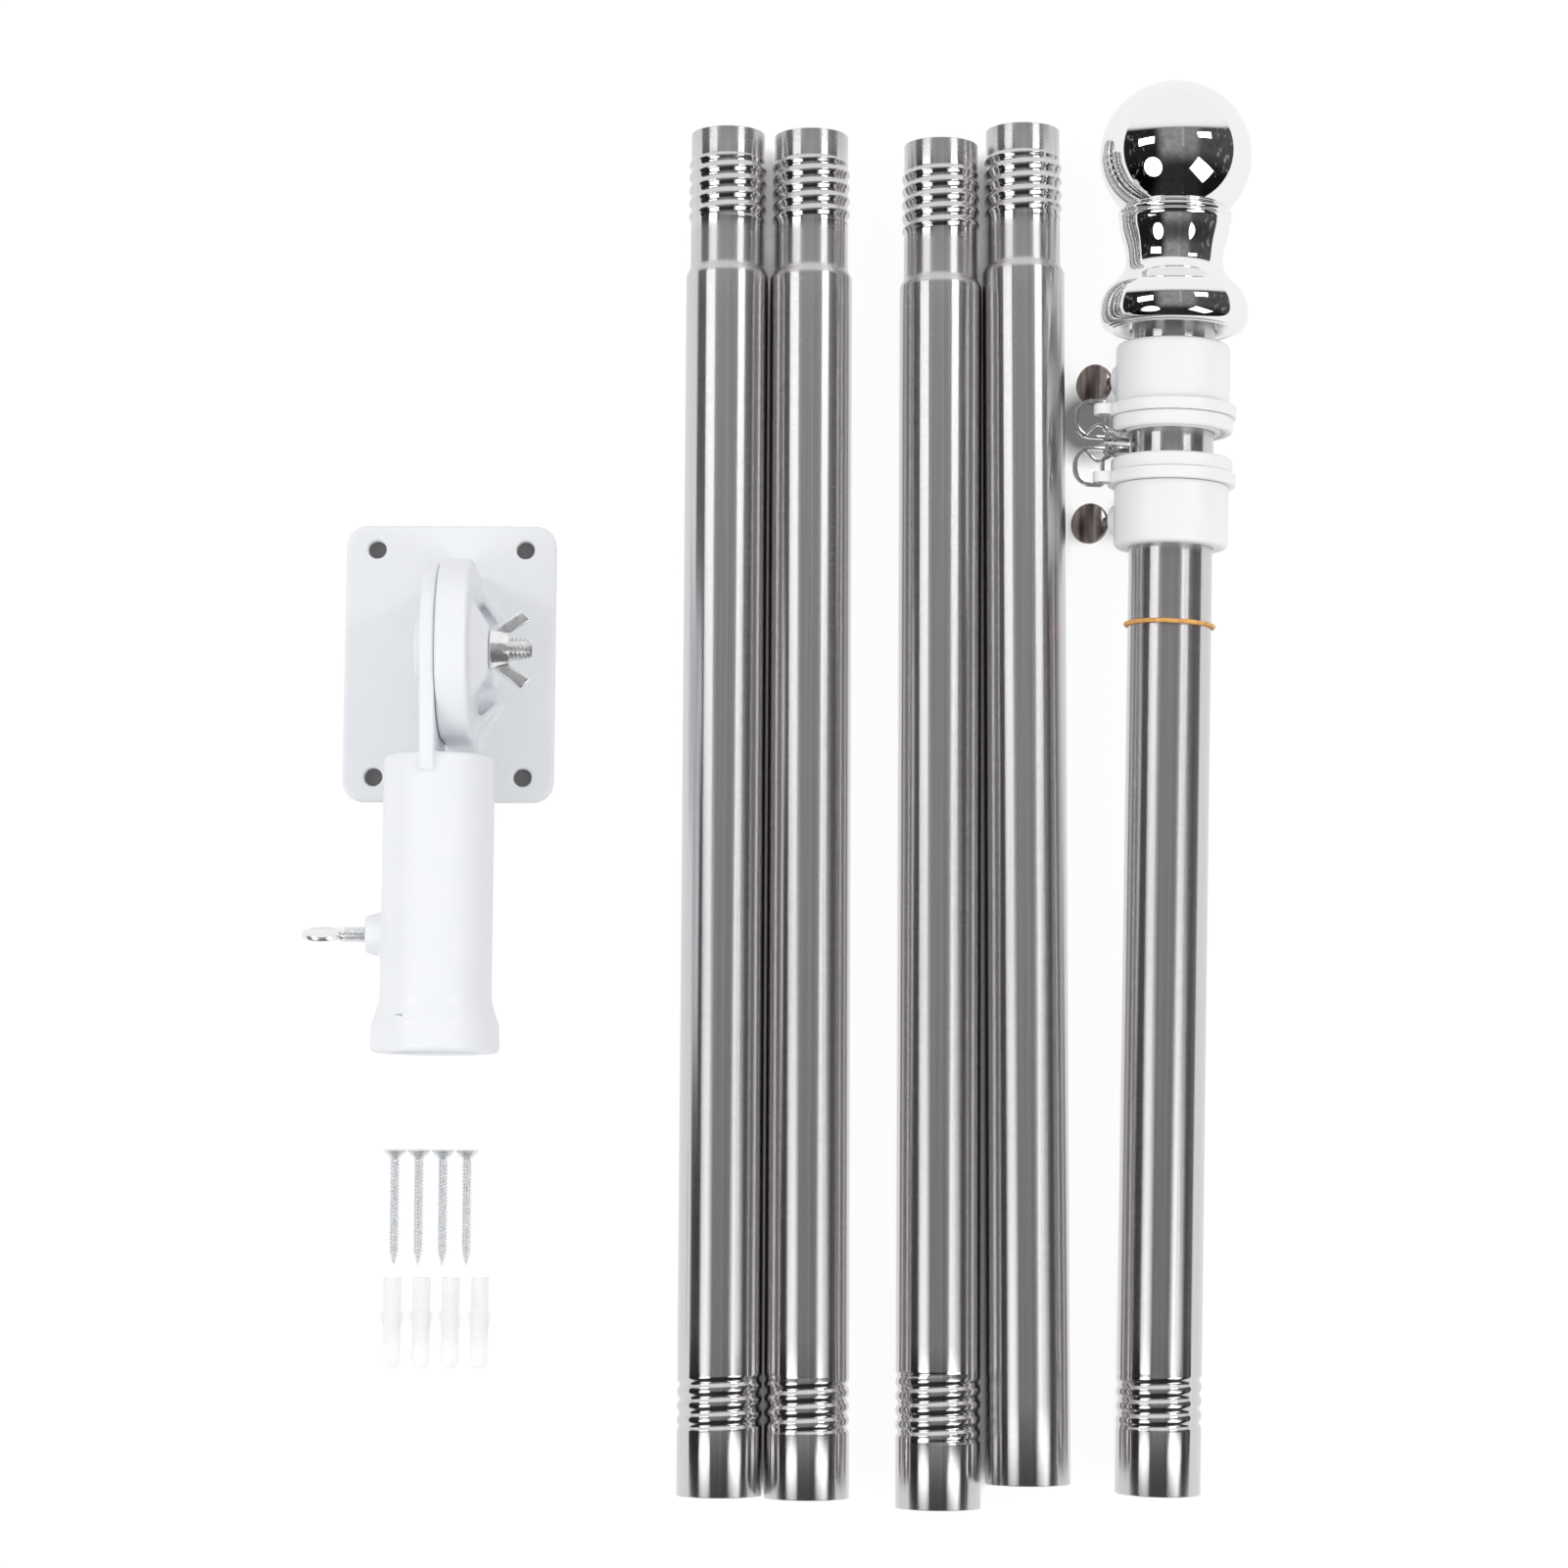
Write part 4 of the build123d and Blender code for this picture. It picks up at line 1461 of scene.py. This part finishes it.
    def rivet_pin(self) -> Shell:
        """The gate's rivet with its two heads."""
        head = self.gate_width / 2 + self.rivet_head
        inset = head - 0.35 * MM
        outline = [(-head, 0.0), (-head, 0.5 * MM), (-inset, self.rivet)]
        outline += [(inset, self.rivet), (head, 0.5 * MM), (head, 0.0)]
        return turned(outline, self.rivet_steps, closed=False)

    def gate_channel(self, fold: float, near: float, far: float) -> Shell:
        """A folded U channel whose cheeks straddle the hook's nose.

        Args:
            fold: Station of its folded back.
            near: Its free end's distance from the pole's axis.
            far: Its riveted end's distance.

        Returns:
            The channel in the ring's frame.
        """
        half = self.gate_width / 2
        length = far - near
        inside = fold - self.sheet
        back = slab([(inside, -half), (inside, half), (fold, half), (fold, -half)], length)
        parts = [placed(back, Matrix.Translation((0, 0, (near + far) / 2)))]
        reach = fold - self.cheek
        outline = [(fold, near), (reach + 0.9 * MM, near), (reach, near + 1.3 * MM), (reach, far - 0.9 * MM),
                   (reach + 0.9 * MM, far), (fold, far)]
        for side in (1, -1):
            cheek = slab(outline, self.sheet)
            upright = Matrix.Rotation(math.radians(90), 4, "X")
            parts.append(placed(cheek, Matrix.Translation((0, side * (half - self.sheet / 2), 0)) @ upright))
        whole = joined(parts)
        soften(whole, self.sheet_edge, self.stamped_sharp, 2)
        return whole

    def thumb_screw(self) -> None:
        """The coin-headed screw through the collar's boss."""
        lay = self.screw_lay()
        across = lay.out.cross(lay.along)
        seat = self.collar_outer + self.boss_reach + self.paddle_gap
        tip = self.tube_radius + self.tip_gap
        whole = self.screw.shell(Lay(lay.origin, lay.out, across), tip, seat, across)
        node = f"{self.prefix}_thumb_screw"
        Piece.of(node, node, "nickel_plated_steel", self.finishes.coin).publish(whole)

    def build(self) -> None:
        """Builds the whole flag ring."""
        self.collar()
        self.cap()
        self.swivel_ring()
        self.clip()
        self.thumb_screw()


@dataclass
class Castings:
    """The bracket's two castings, smoothed from their CAD solids as powder coat smooths them."""

    finishes: Finishes
    nodes: dict[str, bpy.types.Object]
    voxel: float = 0.55 * MM
    smoothing: int = 5
    smoothing_factor: float = 0.5

    def cast(self, node: str, body: str) -> None:
        """Copies a solid, melts its edges and corners, and dresses it.

        Args:
            node: The CAD node.
            body: The CAD body that it rides on.
        """
        bm = bmesh.new()
        bm.from_mesh(self.nodes[node].data)
        bmesh.ops.remove_doubles(bm, verts=bm.verts, dist=1e-6)
        bmesh.ops.recalc_face_normals(bm, faces=bm.faces)
        blank = shown(f"{node}_blank", mesh_from(bm, f"{node}_blank"))
        remesh = blank.modifiers.new("melt", "REMESH")
        remesh.mode = "VOXEL"
        remesh.voxel_size = self.voxel
        smooth = blank.modifiers.new("smooth", "SMOOTH")
        smooth.factor = self.smoothing_factor
        smooth.iterations = self.smoothing
        graph = bpy.context.evaluated_depsgraph_get()
        melted = bpy.data.meshes.new_from_object(blank.evaluated_get(graph))
        bpy.data.objects.remove(blank)
        Piece.of(node, body, "white_enamel", self.finishes.enamel).dress(melted, 180.0)

    def build(self) -> None:
        """Builds the wall plate and the socket arm."""
        self.cast("wall_plate", "kit")
        self.cast("socket_arm", "arm")


@dataclass
class BracketHardware:
    """Pivot bolt, wing nut and the socket's thumb screw."""

    finishes: Finishes
    hinges: Hinges
    bolt_radius: float = 3.9 * MM
    bolt_pitch: float = 1.25 * MM
    bolt_depth: float = 0.65 * MM
    bolt_end: float = 27.4 * MM
    thread_start: float = 8.0 * MM
    head_seat: float = -2.3 * MM
    head_height: float = 5.3 * MM
    head_flats: float = 6.4 * MM
    nut_base: float = 5.9 * MM
    nut_crown: float = 5.2 * MM
    nut_height: float = 6.0 * MM
    nut_play: float = 0.08 * MM
    nut_foot: float = 0.9 * MM
    nut_steps: int = 56
    nut_edge: float = 0.3 * MM
    wing_edge: float = 0.6 * MM
    head_edge: float = 0.35 * MM
    bolt_rows: int = 9
    bolt_steps: int = 48
    wing_thickness: float = 2.8 * MM
    wing_half_span: float = 12.0 * MM
    wing_top: float = 12.6 * MM
    paddle_turn: float = 72.0
    paddle_centre: float = 34.0 * MM
    socket_bore: float = 13.0 * MM
    tip_gap: float = 0.15 * MM
    screw: ThumbScrew = ThumbScrew(2.45 * MM, 0.8 * MM, 0.32 * MM, 6.2 * MM, 1.2 * MM, 32)

    def zinc(self, node: str, body: str, bm: Shell, sharp: float = 40.0) -> None:
        """Dresses one zinc-plated piece."""
        Piece.of(node, body, "zinc_plated_steel", self.finishes.zinc).publish(bm, sharp)

    def bolt(self) -> None:
        """The hexagon bolt with its rolled thread."""
        pivot = self.hinges.place("bracket_tilt")
        end = self.bolt_end - 0.4 * MM
        helix = Helix(self.thread_start, end, self.bolt_pitch, self.bolt_depth, 0.5, ThreadForm.RIDGE)
        core = self.bolt_radius - self.bolt_depth
        profile = [(self.head_seat, 0.0), (self.head_seat, core), (self.thread_start - 0.1 * MM, core)]
        profile += [(s, core) for s in helix.stations(self.bolt_rows)]
        profile += [(self.bolt_end, core - 0.3 * MM), (self.bolt_end, 0.0)]
        shank = turned(profile, self.bolt_steps, helix.shift, closed=False)
        head_radius = self.head_flats / math.cos(math.radians(30))
        head = slab(arc((0.0, 0.0), head_radius, 30, 330, 5), self.head_height)
        soften(head, self.head_edge)
        head_middle = pivot + RIGHT * (self.head_seat - self.head_height / 2)
        placed(shank, Lay(pivot, RIGHT, UP).matrix())
        placed(head, Lay(head_middle, -UP, RIGHT).matrix())
        self.zinc("pivot_bolt", "arm", joined([shank, head]), 30.0)

    def wing_nut(self) -> None:
        """The wing nut: a flared hub with two blades."""
        bore = self.bolt_radius + self.nut_play
        hub = turned([(0.0, bore), (0.0, self.nut_base), (self.nut_foot, self.nut_base),
                      (self.nut_height, self.nut_crown), (self.nut_height, bore)], self.nut_steps)
        soften(hub, self.nut_edge)
        parts = [hub]
        for side in (1, -1):
            blade = slab([
                (0.6 * MM, side * (self.nut_crown - 0.6 * MM)), (1.1 * MM, side * self.nut_base),
                (self.wing_top - 3.2 * MM, side * self.wing_half_span),
                (self.wing_top, side * (self.wing_half_span - 3.0 * MM)),
                (self.nut_height + 1.4 * MM, side * (self.nut_crown + 0.6 * MM)),
                (self.nut_height - 0.4 * MM, side * (self.nut_crown - 0.6 * MM)),
            ], self.wing_thickness)
            soften(blade, self.wing_edge, 30.0)
            parts.append(blade)
        lay = Lay(self.hinges.place("wing_nut_turn"), RIGHT, UP)
        self.zinc("wing_nut", "wing_nut", placed(joined(parts), lay.matrix()))

    def socket_screw(self) -> None:
        """The socket's thumb screw."""
        place = self.hinges.place("socket_screw_turn")
        lay = Lay(Vector((0.0, place.y, place.z)), self.hinges.axis("socket_screw_turn"), UP)
        turn = math.radians(self.paddle_turn)
        facing = Vector((0, math.sin(turn), math.cos(turn)))
        seat = self.paddle_centre - self.screw.paddle
        whole = self.screw.shell(lay, self.socket_bore + self.tip_gap, seat, facing)
        self.zinc("socket_thumb_screw", "socket_thumb_screw", whole)

    def build(self) -> None:
        """Builds the bracket's hardware."""
        self.bolt()
        self.wing_nut()
        self.socket_screw()


@dataclass
class Fixings:
    """Four countersunk screws and four wall plugs."""

    finishes: Finishes
    count: int = 4
    screw_length: float = 35.0 * MM
    head_radius: float = 3.5 * MM
    head_height: float = 2.6 * MM
    thread_radius: float = 1.6 * MM
    thread_pitch: float = 1.05 * MM
    thread_depth: float = 0.4 * MM
    point: float = 4.5 * MM
    recess_radius: float = 1.5 * MM
    recess_depth: float = 0.9 * MM
    plug_length: float = 27.3 * MM
    plug_radius: float = 2.7 * MM
    plug_bore: float = 1.3 * MM
    bore_depth: float = 19.0 * MM
    first_barb: float = 5.0 * MM
    barb_pitch: float = 2.4 * MM
    barbs: int = 7
    fin_thickness: float = 0.9 * MM
    fin_edge: float = 0.2 * MM
    thread_share: float = 0.34
    thread_rows: int = 8
    thread_shift: float = 0.3
    screw_steps: int = 28
    plug_steps: int = 36
    least_taper: float = 0.08

    def screw(self, index: int) -> None:
        """One countersunk screw with a plain round recess, lying on its head's rim and its point.

        Args:
            index: Its number in the row.
        """
        node = f"mounting_screw_{index}"
        low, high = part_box(node)
        length, head = self.screw_length, self.head_radius
        drop = math.asin((head - self.thread_radius) / (length - self.point))
        along = Vector((0.0, -math.cos(drop), -math.sin(drop)))
        start = Vector(((low.x + high.x) / 2, high.y - head * math.sin(drop), head * math.cos(drop)))
        lay = Lay(start, along, Vector((0, -math.sin(drop), math.cos(drop))))
        first, last = self.head_height + 0.4 * MM, length - 0.8 * MM
        helix = Helix(first, last, self.thread_pitch, self.thread_depth, self.thread_share,
                      ThreadForm.RIDGE, index * self.thread_shift)
        core = self.thread_radius - self.thread_depth
        profile = [(self.recess_depth, 0.0), (self.recess_depth, self.recess_radius - 0.3 * MM),
                   (0.05 * MM, self.recess_radius), (0.0, head - 0.3 * MM), (0.2 * MM, head),
                   (0.5 * MM, head - 0.1 * MM), (self.head_height, core + 0.2 * MM)]
        for station in helix.stations(self.thread_rows):
            left = (length - station) / self.point
            profile.append((station, core * min(1.0, max(self.least_taper, left))))
        bm = turned(profile + [(length, 0.0)], self.screw_steps, helix.shift, closed=False)
        piece = Piece.of(node, "kit", "zinc_plated_steel", self.finishes.frosted)
        piece.publish(placed(bm, lay.matrix()), 50.0)

    def plug(self, index: int) -> None:
        """One wall plug with barbs and two side fins.

        Args:
            index: Its number in the row.
        """
        node = f"wall_plug_{index}"
        low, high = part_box(node)
        lay = Lay(Vector(((low.x + high.x) / 2, high.y, self.plug_radius)), Vector((0, -1, 0)), UP)
        radius, bore = self.plug_radius, self.plug_bore
        outline: Profile = [(0.0, bore), (0.0, radius - 0.2 * MM), (0.5 * MM, radius)]
        for i in range(self.barbs):
            step = self.first_barb + i * self.barb_pitch
            foot, crest = step + 0.5 * MM, step + 1.9 * MM
            outline += [(step, radius), (foot, radius - 0.25 * MM), (crest, radius - 0.05 * MM)]
        outline += arc((self.plug_length - radius, 0.0), radius, 88, 25, 8)
        outline += [(self.plug_length - 0.15 * MM, 0.0), (self.bore_depth, 0.0), (self.bore_depth, bore)]
        shells = [turned(outline, self.plug_steps)]
        for side in (1, -1):
            fin = slab([(10.0 * MM, side * 2.2 * MM), (10.6 * MM, side * 3.3 * MM),
                        (11.6 * MM, side * 3.5 * MM), (16.5 * MM, side * 2.2 * MM)], self.fin_thickness)
            soften(fin, self.fin_edge)
            shells.append(fin)
        piece = Piece.of(node, "kit", "plug_plastic", self.finishes.plug)
        piece.publish(placed(joined(shells), lay.matrix()))

    def build(self) -> None:
        """Builds all screws and plugs."""
        for index in range(1, self.count + 1):
            self.screw(index)
            self.plug(index)


@dataclass(frozen=True)
class Softbox:
    """One area lamp, placed by its angles from the vertical.

    Args:
        name: The lamp's name.
        across: Angle towards +X in degrees.
        away: Angle towards +Y in degrees.
        size: Its two sides.
        watts: Its power.
        shape: Area lamp shape.
        spin: Turn about its own axis in degrees.
    """

    name: str
    across: float
    away: float
    size: tuple[float, float]
    watts: float
    shape: str = "RECTANGLE"
    spin: float = 0.0

    def build(self, target: Vector, distance: float) -> None:
        """Hangs the lamp at a distance from the target, facing it.

        Args:
            target: What it faces.
            distance: How far it hangs from there.
        """
        data = bpy.data.lights.new(self.name, "AREA")
        data.shape = self.shape
        data.size, data.size_y = self.size
        data.energy = self.watts
        slopes = (math.tan(math.radians(self.across)), math.tan(math.radians(self.away)), 1.0)
        towards = Vector(slopes).normalized()
        aim = towards.to_track_quat("Z", "Y").to_matrix().to_4x4()
        spin = Matrix.Rotation(math.radians(self.spin), 4, "Z")
        place = Matrix.Translation(target + towards * distance)
        shown(self.name, data).matrix_world = place @ aim @ spin


@dataclass(frozen=True)
class Room:
    """The world: white behind, soft fill, and a dim studio room in reflections.

    Each span maps a direction's share along X or Y, or a noise, to a brightness.
    """

    fill: float = 0.98
    ceiling_left: Spans = (-0.62, -0.34, 0.02, 0.32)
    ceiling_right: Spans = (0.36, 0.6, 1.0, 0.34)
    ceiling_step: Spans = (0.1, 0.17, 1.06, 0.86)
    beam_near: Spans = (0.05, 0.065, 0.0, 0.16)
    beam_far: Spans = (0.1, 0.115, 1.0, 0.0)
    beam_end: Spans = (-0.02, 0.03, 0.0, 1.0)
    clutter_stretch: Triple = (30.0, 5.0, 6.0)
    gear: Spans = (0.6, 0.64, 0.0, 0.22)
    gear_left: Spans = (-0.82, -0.72, 1.0, 0.0)
    gear_right: Spans = (0.74, 0.84, 0.0, 1.0)
    front: Spans = (-0.5, 0.02, 0.1, 1.0)
    grain_scale: float = 7.0
    grain: Spans = (0.3, 0.7, 0.85, 1.15)
    sweep_edge: Spans = (0.45, 0.54, 0.0, 1.0)
    sweep_rise: Spans = (0.5, 0.64, 1.08, 1.22)

    def mirrored(self, graph: Graph) -> Socket:
        """Brightness of the room as reflections show it.

        Args:
            graph: The world's nodes.

        Returns:
            The brightness.
        """

        def eased(value: Socket, ends: Spans) -> Socket:
            """Maps a value from span to span with a soft start and end."""
            return graph.span(value, *ends, form="SMOOTHSTEP")

        direction = graph.node("ShaderNodeTexCoord").outputs["Generated"]
        parts = graph.node("ShaderNodeSeparateXYZ", {"Vector": direction})
        across, away = parts.outputs["X"], parts.outputs["Y"]
        clutter = graph.noise(graph.mapped(direction, self.clutter_stretch), 1.0)
        sides = [eased(across, s) for s in (self.ceiling_left, self.ceiling_right, self.ceiling_step)]
        beam = graph.maths("MULTIPLY", eased(across, self.beam_near), eased(across, self.beam_far))
        beam = graph.maths("MULTIPLY", beam, eased(away, self.beam_end))
        ceiling = graph.maths("ADD", graph.maths("MULTIPLY", *sides), beam)
        edges = graph.maths("MAXIMUM", eased(across, self.gear_left), eased(across, self.gear_right))
        gear = graph.maths("MULTIPLY", eased(clutter, self.gear), edges)
        uneven = eased(graph.noise(direction, self.grain_scale), self.grain)
        dim = graph.maths("MULTIPLY", ceiling, eased(away, self.front), uneven)
        sweep = graph.maths("MULTIPLY", eased(away, self.sweep_edge), eased(away, self.sweep_rise))
        return graph.maths("MAXIMUM", graph.maths("ADD", dim, gear), sweep)

    def build(self) -> None:
        """Makes the world."""
        world = bpy.data.worlds.new("studio")
        bpy.context.scene.world = world
        world.use_nodes = True
        world.node_tree.nodes.clear()
        graph = Graph(world.node_tree)
        rays = graph.node("ShaderNodeLightPath").outputs
        lit = {"Factor": rays["Is Glossy Ray"], "A": self.fill, "B": self.mirrored(graph)}
        glossy = graph.node("ShaderNodeMix", lit, data_type="FLOAT").outputs["Result"]
        clear = graph.maths("MAXIMUM", rays["Is Camera Ray"], rays["Is Transmission Ray"])
        seen = graph.node("ShaderNodeMix", {"Factor": clear, "A": glossy, "B": 1.0}, data_type="FLOAT")
        light = graph.node("ShaderNodeBackground", {"Strength": seen.outputs["Result"]})
        graph.node("ShaderNodeOutputWorld", {"Surface": light.outputs["Background"]})


@dataclass
class Studio:
    """Floor, lamps, room and camera.

    Args:
        plate: The wall plate's box; the paper under it is painted dark, seen through its holes.
        pool: Middle of the painted shadow behind the clips.
    """

    plate: tuple[Vector, Vector]
    pool: Vector
    camera_place: Triple = (0.10306, -0.1703, 1.18)
    camera_tilt: float = 7.863
    camera_roll: float = 0.279
    camera_shift: float = -0.06
    sensor: float = 36.0
    lens: float = 88.57
    target: Triple = (0.12, -0.03, 0.0)
    lamp_distance: float = 1.6
    floor_half: float = 3.0
    floor_drop: float = 0.2 * MM
    paper: float = 0.8
    paper_roughness: float = 0.9
    glow_share: float = 0.86
    glow_mirrored: float = 0.93
    glow: tuple[float, float] = (0.06, 1.07)
    # Reach, span and start along X of the painted shade between the tubes.
    nook_reach: float = 12.0 * MM
    nook_span: tuple[float, float] = (0.24, 0.5)
    tubes_from: tuple[float, float] = (0.045, 0.055)
    # Painted shadow behind the clips: its inner and outer radius and its depth.
    painted_shadow_span: Spans = (0.007, 0.0145, 0.9, 0.0)
    # Dark painted patch under the wall plate, seen through its holes.
    plate_inset: float = 2.0 * MM
    plate_edge: float = 0.1 * MM
    lamps: tuple[Softbox, ...] = (
        Softbox("front left softbox", -41.5, -28.0, (0.86, 0.86), 4.1, shape="DISK"),
        Softbox("front right softbox", 42.5, -31.0, (0.62, 0.94), 4.9),
        Softbox("left strip", -47.0, 25.5, (0.27, 0.7), 2.8, spin=19.0),
        Softbox("right strip", 41.0, 30.0, (0.2, 0.52), 2.6, spin=-25.0),
    )

    def camera(self) -> None:
        """The camera at the photograph's viewing angle."""
        data = bpy.data.cameras.new("camera")
        data.lens = self.lens
        data.sensor_width = self.sensor
        data.shift_y = self.camera_shift
        data.clip_start, data.clip_end = 0.01, 100.0
        tilt = Matrix.Rotation(math.radians(self.camera_tilt), 4, "X")
        roll = Matrix.Rotation(math.radians(self.camera_roll), 4, "Z")
        holder = shown("camera", data)
        holder.matrix_world = Matrix.Translation(self.camera_place) @ tilt @ roll
        bpy.context.scene.camera = holder

    def floor(self) -> None:
        bm = bmesh.new()
        bmesh.ops.create_grid(bm, x_segments=2, y_segments=2, size=self.floor_half)
        mesh = mesh_from(bm, "floor")
        mesh.materials.append(self.glowing_paper())
        floor = shown("floor", mesh)
        floor.location.z = -self.floor_drop
        floor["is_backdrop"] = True

    def glowing_paper(self) -> bpy.types.Material:
        """Paper that takes shadows and glows to white where it lies open; the glow is cut back to painted
        shade between the tubes, under the plate and behind the clips.
        """
        white = (self.paper, self.paper, self.paper, 1.0)
        sheet = Sheet("floor paper", Base_Color=white, Roughness=self.paper_roughness, Specular_IOR_Level=0.0)
        rays = sheet.node("ShaderNodeLightPath").outputs
        glossy = rays["Is Glossy Ray"]
        seen = sheet.maths("MAXIMUM", rays["Is Camera Ray"], glossy, rays["Is Transmission Ray"])
        mirrored = sheet.span(glossy, 0.0, 1.0, 1.0, self.glow_mirrored)
        strength = sheet.maths("MULTIPLY", sheet.span(self.open_air(sheet), 0.0, 1.0, *self.glow), mirrored)
        glow = sheet.node("ShaderNodeEmission", {"Color": (*EVEN, 1.0), "Strength": strength})
        mix = sheet.node("ShaderNodeMixShader", {"Fac": sheet.maths("MULTIPLY", seen, self.glow_share)})
        sheet.feed(mix.inputs[1], sheet.shader.outputs["BSDF"])
        sheet.feed(mix.inputs[2], glow.outputs["Emission"])
        sheet.feed(sheet.tree.nodes["Material Output"].inputs["Surface"], mix.outputs["Shader"])
        return sheet.material

    def nook(self, sheet: Sheet) -> Socket:
        """How shut in the paper is over a short reach: 0 in the open, 1 in a nook, where the paper gets
        painted shade.
        """
        nook = sheet.node("ShaderNodeAmbientOcclusion", {"Distance": self.nook_reach}, samples=8)
        return sheet.span(nook.outputs["AO"], *self.nook_span, 1.0, 0.0)

    def open_air(self, sheet: Sheet) -> Socket:
        """Where the paper glows: not between the tubes, in the plate's holes or behind the clips, where
        painted shade darkens it.

        Args:
            sheet: The floor's material.

        Returns:
            The factor, 1 in the open and less where painted shade lies.
        """
        place = sheet.node("ShaderNodeTexCoord").outputs["Object"]
        parts = sheet.node("ShaderNodeSeparateXYZ", {"Vector": place}).outputs
        # Painted shade between the tubes, where the paper is shut in.
        tubes = sheet.maths("MULTIPLY", sheet.span(parts["X"], *self.tubes_from, 0.0, 1.0), self.nook(sheet))
        # Painted shadow pool behind the clips.
        away = sheet.distance(place, (self.pool.x, self.pool.y, 0.0))
        # Dark painted patch under the wall plate, seen through its holes.
        low, high = self.plate
        inset, edge = self.plate_inset, self.plate_edge
        sides = [("X", low.x + inset, 1.0), ("X", high.x - inset, 0.0)]
        sides += [("Y", low.y + inset, 1.0), ("Y", high.y - inset, 0.0)]
        walls = [sheet.span(parts[axis], at, at + edge, 1.0 - past, past) for axis, at, past in sides]
        plate = sheet.maths("MULTIPLY", *walls)
        # The deepest of the three painted shades dims the glow.
        painted_shade_depth = sheet.maths("MAXIMUM", tubes, plate, sheet.span(away, *self.painted_shadow_span))
        return sheet.span(painted_shade_depth, 0.0, 1.0, 1.0, 0.0)

    def build(self) -> None:
        """Builds the studio."""
        bpy.context.scene.view_settings.view_transform = "Standard"
        self.camera()
        self.floor()
        Room().build()
        for lamp in self.lamps:
            lamp.build(Vector(self.target), self.lamp_distance)


def pole_lay(hinges: Hinges) -> Lay:
    """Frame of the top section: its start, local X along it, local Z up.

    Args:
        hinges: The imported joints.

    Returns:
        The frame, worked out from the two swivel rings' centres.
    """
    lower = hinges.place("lower_ring_spin")
    along = (hinges.place("upper_ring_spin") - lower).normalized()
    side = along.cross(UP).normalized()
    return Lay(lower - along * LOWER_RING_STATION, along, side.cross(along))


def corners() -> list[list[float]]:
    """The shown object's box as plain lists."""
    return [list(corner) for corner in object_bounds()]


def main() -> None:
    """Builds every piece, the studio and the camera."""
    logging.basicConfig(level=logging.INFO, format="%(name)s: %(message)s")
    for leftover in list(bpy.data.objects):
        bpy.data.objects.remove(leftover)
    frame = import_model()
    hinges = Hinges(frame["joints"])
    pole = pole_lay(hinges)
    finishes = Finishes()
    PoleSections(finishes, pole).build()
    Finial(finishes, pole).build()
    RubberBand(finishes, pole).build()
    for prefix in ("lower", "upper"):
        FlagRing(finishes, hinges, prefix).build()
    Castings(finishes, frame["nodes"]).build()
    BracketHardware(finishes, hinges).build()
    Fixings(finishes).build()
    lower, upper = (hinges.place(f"{prefix}_clip_swing") for prefix in ("lower", "upper"))
    # The paper gets a painted shadow behind the clips and a dark painted patch under the plate.
    Studio(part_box("wall_plate"), (lower + upper) / 2 + PAINTED_SHADOW_FROM_CLIPS).build()


if __name__ == "__main__":
    main()
